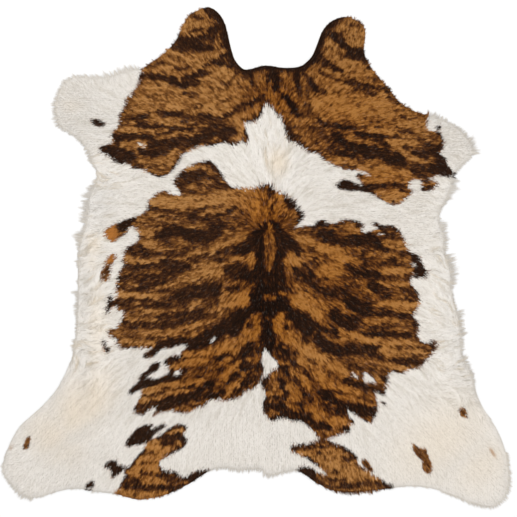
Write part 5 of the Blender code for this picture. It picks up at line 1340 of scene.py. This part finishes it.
mid_x = rx + u * length * mid - v * bend * length
mid_y = ry + v * length * mid + u * bend * length
tip_x, tip_y = rx + u * length, ry + v * length
under = fine.look(under_field, rx, ry)
top_mid = fine.look(top_field, mid_x, mid_y)
top_tip = fine.look(top_field, tip_x, tip_y)
layer = np.clip(0.5 + 0.24 * comb * rough + smooth * (0.30 * chance.uniform(-1, 1, count) + 0.06 * lock_values[:, 4]), 0, 1)
under_mid = fine.look(under_field, mid_x, mid_y)
under_tip = fine.look(under_field, tip_x, tip_y)
root_z = under - 0.9
mid_z = under_mid + (top_mid - under_mid) * (0.25 + 0.75 * layer) + 0.3
tip_z = under_tip + (top_tip - under_tip) * (0.10 + 0.62 * layer) + 0.15

place = np.empty((count, 4, 3))
place[:, 0] = np.stack([rx, ry, root_z], 1)
place[:, 1] = np.stack([mid_x - v * half, mid_y + u * half, mid_z + roll * half * UNIT_MM], 1)
place[:, 2] = np.stack([mid_x + v * half, mid_y - u * half, mid_z - roll * half * UNIT_MM], 1)
place[:, 3] = np.stack([tip_x, tip_y, tip_z], 1)

spot = length * np.clip(0.52 + 0.28 * chance.standard_normal(count), 0.0, 1.0)
streak = fine.look(streak_f, rx, ry)
jitter = np.clip(0.165 * chance.standard_normal(count) + 0.08 * streak, -0.34, 0.34)
tone = 0.105 * chance.standard_normal(count) + 0.03 * lock_values[:, 4]
strand_tally = colours_at(rx + u * spot, ry + v * spot, jitter, tone)
strand_dark = np.stack([
    np.clip(fine.look(dark_field, rx + u * length * share, ry + v * length * share) + tone, 0, 1)
    for share in (0.35, 0.55, 0.55, 0.82)
], 1)
shade = 0.56 + 0.30 * comb * rough + (0.12 + rough) * (0.06 * streak + 0.12 * chance.standard_normal(count))
shade += 0.05 * lock_values[:, 4]
shade = np.clip(shade, 0, 1)

order = np.argsort(ry, kind="stable")
BANDS = ("coat_neck", "coat_withers", "coat_loin", "coat_hindquarters")
hair_pieces = []
for name, who in zip(BANDS, np.array_split(order, len(BANDS))):
    mx, my = metres(place[who, :, 0].ravel(), place[who, :, 1].ravel())
    co = np.stack([mx, my, np.maximum(0.25, place[who, :, 2].ravel()) * MM], 1)
    base = np.arange(len(who))[:, None] * 4
    # y is down in table units, so these run anticlockwise as seen from above
    triangles = np.concatenate([base + np.array([0, 2, 1]), base + np.array([1, 2, 3])])
    tally = {key: np.repeat(values[who], 4) for key, values in strand_tally.items()}
    tally["dark"] = strand_dark[who].ravel()
    tally["shade"] = np.repeat(shade[who], 4)
    # rise darkens each hair towards its root in the material: painted shade
    tally["rise"] = np.tile(np.array([0.15, 0.75, 0.75, 1.0]), len(who))
    hair_pieces.append(sheet_mesh(name, co, triangles, tally))


# ---------------------------------------------------------------- the fringe past the skin's edge
edge_step = np.linalg.norm(np.roll(edge, -1, 0) - edge, axis=1)
mile = np.concatenate([[0], np.cumsum(edge_step)])
whole = mile[-1]
per_row = int(whole * UNIT_MM / FRINGE_STEP_MM)
s = np.concatenate([(np.arange(per_row) + chance.uniform(-0.4, 0.4, per_row)) * whole / per_row for _ in range(3)])
row = np.repeat([0.0, 1.0, 2.0], per_row)
k = np.clip(np.searchsorted(mile, s % whole, "right") - 1, 0, len(edge) - 1)
t = (s % whole - mile[k]) / np.maximum(1e-6, edge_step[k])
start = edge[k] * (1 - t)[:, None] + edge[(k + 1) % len(edge)] * t[:, None]
out = outward[k]
inset_row = 0.25 + 1.6 * row
start = start - out * inset_row[:, None]
far, uneven, plain = fringe_mm[k] / UNIT_MM, tufted[k], clean[k]
keep = (plain < 0.5) & (far > 0.3)
s, row, start, out, far, uneven, inset_row = (q[keep] for q in (s, row, start, out, far, uneven, inset_row))
fx, fy = start[:, 0], start[:, 1]

# tufts come every few units along the edge, each with its own length and swing, and most hairs lean to their tip
def on_edge(s):
    """The place on the skin's edge s units along it, and the way out there."""
    at = np.clip(np.searchsorted(mile, s % whole, "right") - 1, 0, len(edge) - 1)
    t = (s % whole - mile[at]) / np.maximum(1e-6, edge_step[at])
    return edge[at] * (1 - t)[:, None] + edge[(at + 1) % len(edge)] * t[:, None], outward[at]


tuft_wide = 2.2
cell = np.floor(s / tuft_wide + 0.35 * np.sin(s * 0.9)).astype(int)
tuft_values = np.random.default_rng(29).uniform(-1, 1, (cell.max() + 2, 4))[cell]
middle, middle_out = on_edge((cell + 0.5 + 0.3 * tuft_values[:, 3]) * tuft_wide)
tuft_u, tuft_v = coarse.look(lie_u, middle[:, 0], middle[:, 1]), coarse.look(lie_v, middle[:, 0], middle[:, 1])
facing = tuft_u * middle_out[:, 0] + tuft_v * middle_out[:, 1]
push = np.clip(0.75 - facing, 0.15, 1.4)
tuft_u, tuft_v = tuft_u + push * middle_out[:, 0], tuft_v + push * middle_out[:, 1]
size = np.maximum(1e-6, np.hypot(tuft_u, tuft_v))
tuft_u, tuft_v = turned_by(tuft_u / size, tuft_v / size, 20 * tuft_values[:, 0] * uneven)
long = far * (0.25 + 1.15 * (0.5 + 0.5 * tuft_values[:, 1]) ** 2.2)
n_hair = len(fx)
for _, x0, y0, reach_0, x1, y1, reach_1, heading in FRINGES:
    dx, dy = x1 - x0, y1 - y0
    t = ((fx - x0) * dx + (fy - y0) * dy) / (dx * dx + dy * dy)
    near = (t > -0.02) & (t < 1.02) & (np.hypot(fx - x0 - t * dx, fy - y0 - t * dy) < 7)
    turn = np.radians(heading + 12 * tuft_values[near, 0])
    long[near] = (reach_0 + (reach_1 - reach_0) * t[near]) * (1.1 + 0.7 * (0.5 + 0.5 * tuft_values[near, 1]) ** 1.5)
    long[near] = np.minimum(long[near], 12.0)
    tuft_u[near], tuft_v[near] = np.cos(turn), -np.sin(turn)
joins = chance.uniform(0, 1, n_hair) < 0.45 + 0.4 * uneven
to_x = np.where(joins, middle[:, 0], fx + out[:, 0] * inset_row) + tuft_u * long
to_y = np.where(joins, middle[:, 1], fy + out[:, 1] * inset_row) + tuft_v * long
gap = np.maximum(0.4, np.hypot(to_x - fx, to_y - fy))
fu, fv = turned_by((to_x - fx) / gap, (to_y - fy) / gap, np.where(joins, 4.0, 11.0) * chance.standard_normal(n_hair))
share = np.where(joins, 0.15 + 1.0 * chance.uniform(0, 1, n_hair) ** 1.2, 0.05 + 1.15 * chance.uniform(0, 1, n_hair) ** 2.0)
reach = np.minimum(inset_row, gap) + np.maximum(0.35, gap - inset_row) * share

# named tufts draw the hairs near them to their tip
for _, tx, ty in TUFTS:
    dx, dy = tx - fx, ty - fy
    gap = np.hypot(dx, dy)
    sideways = np.abs(dx * out[:, 1] - dy * out[:, 0])
    drawn = np.exp(-((sideways / 1.4) ** 2)) * (gap < 15)
    aim_u, aim_v = dx / np.maximum(0.5, gap), dy / np.maximum(0.5, gap)
    fu, fv = fu * (1 - drawn) + aim_u * drawn, fv * (1 - drawn) + aim_v * drawn
    size = np.maximum(1e-6, np.hypot(fu, fv))
    fu, fv = fu / size, fv / size
    reach = reach * (1 - drawn) + drawn * (inset_row + (gap - inset_row) * (0.3 + 0.75 * chance.uniform(0, 1, n_hair) ** 1.2))

sway = 0.10 * chance.standard_normal(n_hair) * (0.4 + uneven)
wide = 0.5 * FRINGE_WIDE_MM / UNIT_MM * chance.uniform(0.7, 1.3, n_hair)
root_h = np.where(row > 0.5, fine.look(under_field, fx, fy), 1.9)
place = np.empty((n_hair, 7, 3))
for q, (share, taper, high) in enumerate(((0.0, 0.8, 0.0), (0.36, 1.0, 1.0), (0.7, 0.72, 0.6))):
    bow = sway * math.sin(math.pi * share) * reach * 0.35
    qx = fx + fu * reach * share - fv * bow
    qy = fy + fv * reach * share + fu * bow
    z = root_h * (1 - share) + 0.9 * share + high * (0.8 + 0.5 * row)
    place[:, 2 * q] = np.stack([qx - fv * wide * taper, qy + fu * wide * taper, z], 1)
    place[:, 2 * q + 1] = np.stack([qx + fv * wide * taper, qy - fu * wide * taper, z], 1)
place[:, 6] = np.stack([fx + fu * reach, fy + fv * reach, 0.55 + 0.8 * chance.uniform(0, 1, n_hair)], 1)
mx, my = metres(place[:, :, 0].ravel(), place[:, :, 1].ravel())
co = np.stack([mx, my, np.maximum(0.3, place[:, :, 2].ravel()) * MM], 1)
base = np.arange(n_hair)[:, None] * 7
fan = ((0, 1, 2), (1, 3, 2), (2, 3, 4), (3, 5, 4), (4, 5, 6))
triangles = np.concatenate([base + np.array(f) for f in fan])
# fringe hairs take the colour just inside the edge, with its painted edge shade, and a low shade of their own
tally = colours_at(fx - out[:, 0] * 1.2, fy - out[:, 1] * 1.2, 0.1 * chance.standard_normal(n_hair))
tally = {key: np.repeat(values, 7) for key, values in tally.items()}
tally["shade"] = np.repeat(np.clip(0.24 + 0.16 * chance.standard_normal(n_hair), 0, 1), 7)
tally["rise"] = np.tile(np.array([0.4, 0.4, 0.7, 0.7, 0.9, 0.9, 1.0]), n_hair)
fringe = sheet_mesh("fringe", co, triangles, tally)
hair_pieces.append(fringe)


# ---------------------------------------------------------------- materials
def material(name):
    made = bpy.data.materials.new(name)
    made.use_nodes = True
    return made, made.node_tree.nodes, made.node_tree.links, made.node_tree.nodes["Principled BSDF"]


def reading(nodes, name):
    node = nodes.new("ShaderNodeAttribute")
    node.attribute_name = name
    return node.outputs["Fac"]


def mixed(nodes, links, factor, a, b, kind="MIX"):
    """A colour mix of a and b, each a socket or a colour."""
    node = nodes.new("ShaderNodeMix")
    node.data_type = "RGBA"
    node.blend_type = kind
    for socket, value in ((node.inputs["Factor"], factor), (node.inputs[6], a), (node.inputs[7], b)):
        if isinstance(value, (int, float, tuple)):
            socket.default_value = value if isinstance(value, (int, float)) else (*value, 1.0)
        else:
            links.new(value, socket)
    return node.outputs[2]


def ramp(nodes, links, factor, stops):
    node = nodes.new("ShaderNodeValToRGB")
    node.color_ramp.elements.remove(node.color_ramp.elements[1])
    for k, (at, colour) in enumerate(stops):
        e = node.color_ramp.elements[0] if k == 0 else node.color_ramp.elements.new(at)
        e.position = at
        e.color = (*colour, 1.0)
    links.new(factor, node.inputs["Fac"])
    return node.outputs["Color"]


hair, nodes, links, shader = material("hair")
where = nodes.new("ShaderNodeTexCoord").outputs["Object"]
grain = nodes.new("ShaderNodeTexNoise")
grain.inputs["Scale"].default_value = 260.0
grain.inputs["Detail"].default_value = 3.0
links.new(where, grain.inputs["Vector"])
cloud = nodes.new("ShaderNodeTexNoise")
cloud.inputs["Scale"].default_value = 9.0
cloud.inputs["Detail"].default_value = 4.0
links.new(where, cloud.inputs["Vector"])

tan = ramp(nodes, links, reading(nodes, "dark"), (
    (0.00, (0.475, 0.238, 0.079)),
    (0.16, (0.382, 0.174, 0.0480)),
    (0.36, (0.216, 0.087, 0.0220)),
    (0.60, (0.094, 0.035, 0.0120)),
    (0.80, (0.046, 0.0182, 0.0080)),
    (1.00, (0.0205, 0.0100, 0.0060)),
))
gold = ramp(nodes, links, reading(nodes, "dark"), (
    (0.00, (0.402, 0.157, 0.0235)),
    (0.16, (0.322, 0.115, 0.0152)),
    (0.36, (0.182, 0.0575, 0.0090)),
    (0.60, (0.070, 0.0220, 0.0066)),
    (0.80, (0.027, 0.0100, 0.0044)),
    (1.00, (0.0085, 0.0050, 0.0035)),
))
brown = mixed(nodes, links, reading(nodes, "golden"), tan, gold)
brown = mixed(nodes, links, reading(nodes, "orange"), brown, (0.43, 0.165, 0.036))
white = ramp(nodes, links, cloud.outputs["Fac"], (
    (0.30, (0.758, 0.719, 0.667)),
    (0.70, (0.793, 0.755, 0.706)),
))
white = mixed(nodes, links, reading(nodes, "ivory"), white, (0.775, 0.680, 0.555))
# the white is greyed where painted shade lies, along the edges and in the folds
white = mixed(nodes, links, reading(nodes, "grey_shade"), white, (0.665, 0.638, 0.605))
white = mixed(nodes, links, reading(nodes, "fawn"), white, (0.470, 0.290, 0.160))
colour = mixed(nodes, links, reading(nodes, "brindle"), white, brown)
lit = ramp(nodes, links, reading(nodes, "shade"), ((0.0, (0.76, 0.735, 0.69)), (0.5, (0.93, 0.922, 0.91)), (1.0, (1.0, 1.0, 1.0))))
colour = mixed(nodes, links, 1.0, colour, lit, "MULTIPLY")
# painted shade: each hair darker towards its root and the undercoat darker still, as the coat shades itself
painted_root_shade = ramp(nodes, links, reading(nodes, "rise"), ((0.0, (0.62, 0.60, 0.57)), (0.6, (0.97, 0.97, 0.97)), (1.0, (1.0, 1.0, 1.0))))
colour = mixed(nodes, links, 1.0, colour, painted_root_shade, "MULTIPLY")
grained = ramp(nodes, links, grain.outputs["Fac"], ((0.3, (0.93, 0.93, 0.93)), (0.7, (1.0, 1.0, 1.0))))
colour = mixed(nodes, links, 1.0, colour, grained, "MULTIPLY")
links.new(colour, shader.inputs["Base Color"])
worn = nodes.new("ShaderNodeMapRange")
worn.inputs["To Min"].default_value = 0.54
worn.inputs["To Max"].default_value = 0.72
links.new(grain.outputs["Fac"], worn.inputs["Value"])
links.new(worn.outputs["Result"], shader.inputs["Roughness"])
shader.inputs["Specular IOR Level"].default_value = 0.01
relief = nodes.new("ShaderNodeBump")
relief.inputs["Strength"].default_value = 0.25
relief.inputs["Distance"].default_value = 0.0008
links.new(grain.outputs["Fac"], relief.inputs["Height"])
links.new(relief.outputs["Normal"], shader.inputs["Normal"])

suede, nodes, links, shader = material("suede")
where = nodes.new("ShaderNodeTexCoord").outputs["Object"]
nap = nodes.new("ShaderNodeTexNoise")
nap.inputs["Scale"].default_value = 420.0
nap.inputs["Detail"].default_value = 6.0
links.new(where, nap.inputs["Vector"])
blotch = nodes.new("ShaderNodeTexNoise")
blotch.inputs["Scale"].default_value = 6.0
blotch.inputs["Detail"].default_value = 5.0
links.new(where, blotch.inputs["Vector"])
hide_colour = ramp(nodes, links, blotch.outputs["Fac"], (
    (0.30, (0.56, 0.50, 0.43)),
    (0.55, (0.64, 0.58, 0.50)),
    (0.75, (0.70, 0.65, 0.58)),
))
napped = ramp(nodes, links, nap.outputs["Fac"], ((0.3, (0.86, 0.85, 0.84)), (0.7, (1.0, 1.0, 1.0))))
links.new(mixed(nodes, links, 1.0, hide_colour, napped, "MULTIPLY"), shader.inputs["Base Color"])
worn = nodes.new("ShaderNodeMapRange")
worn.inputs["To Min"].default_value = 0.82
worn.inputs["To Max"].default_value = 0.98
links.new(nap.outputs["Fac"], worn.inputs["Value"])
links.new(worn.outputs["Result"], shader.inputs["Roughness"])
shader.inputs["Specular IOR Level"].default_value = 0.2
relief = nodes.new("ShaderNodeBump")
relief.inputs["Strength"].default_value = 0.4
relief.inputs["Distance"].default_value = 0.0006
links.new(nap.outputs["Fac"], relief.inputs["Height"])
links.new(relief.outputs["Normal"], shader.inputs["Normal"])

skin.data.materials.append(suede)
undercoat.data.materials.append(hair)
for piece in hair_pieces:
    piece.data.materials.append(hair)

# ---------------------------------------------------------------- floor, light and camera
bpy.ops.mesh.primitive_plane_add(size=30.0, location=(0.0, 0.0, -0.0004))
floor = bpy.context.object
floor.name = "floor"
pale, nodes, links, shader = material("pale_floor")
shader.inputs["Base Color"].default_value = (0.745, 0.745, 0.745, 1.0)
shader.inputs["Roughness"].default_value = 0.9
shader.inputs["Specular IOR Level"].default_value = 0.1
floor.data.materials.append(pale)
floor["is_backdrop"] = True

world = bpy.data.worlds.new("studio")
world.use_nodes = True
world.node_tree.nodes["Background"].inputs["Color"].default_value = (1.0, 1.0, 1.0, 1.0)
world.node_tree.nodes["Background"].inputs["Strength"].default_value = 0.84
bpy.context.scene.world = world

LAMPS = (
    # lamp, place, size, watts
    ("key", (-3.0, 3.4, 7.6), 3.2, 310.0),
    ("fill", (3.6, -3.2, 7.6), 4.0, 220.0),
)
for name, place_m, wide_m, watts in LAMPS:
    data = bpy.data.lights.new(name, "AREA")
    data.shape = "DISK"
    data.size = wide_m
    data.energy = watts
    lamp = bpy.data.objects.new(name, data)
    lamp.location = place_m
    lamp.rotation_euler = (-Vector(place_m)).to_track_quat("-Z", "Y").to_euler()
    bpy.context.scene.collection.objects.link(lamp)

eye = bpy.data.cameras.new("camera")
eye.lens = 100.0
eye.sensor_width = 36.0
eye.clip_end = 100.0
camera = bpy.data.objects.new("camera", eye)
frame_m = 517 * UNIT_MM * MM
cam_x, cam_y = metres(258.5, 258.5)
camera.location = (cam_x, cam_y, frame_m * eye.lens / eye.sensor_width)
bpy.context.scene.collection.objects.link(camera)
bpy.context.scene.camera = camera
bpy.context.scene.view_settings.view_transform = "Standard"

# ---------------------------------------------------------------- what each piece is
for piece in [skin, undercoat, *hair_pieces]:
    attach(piece, "root")
    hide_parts("hide")

low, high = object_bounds()
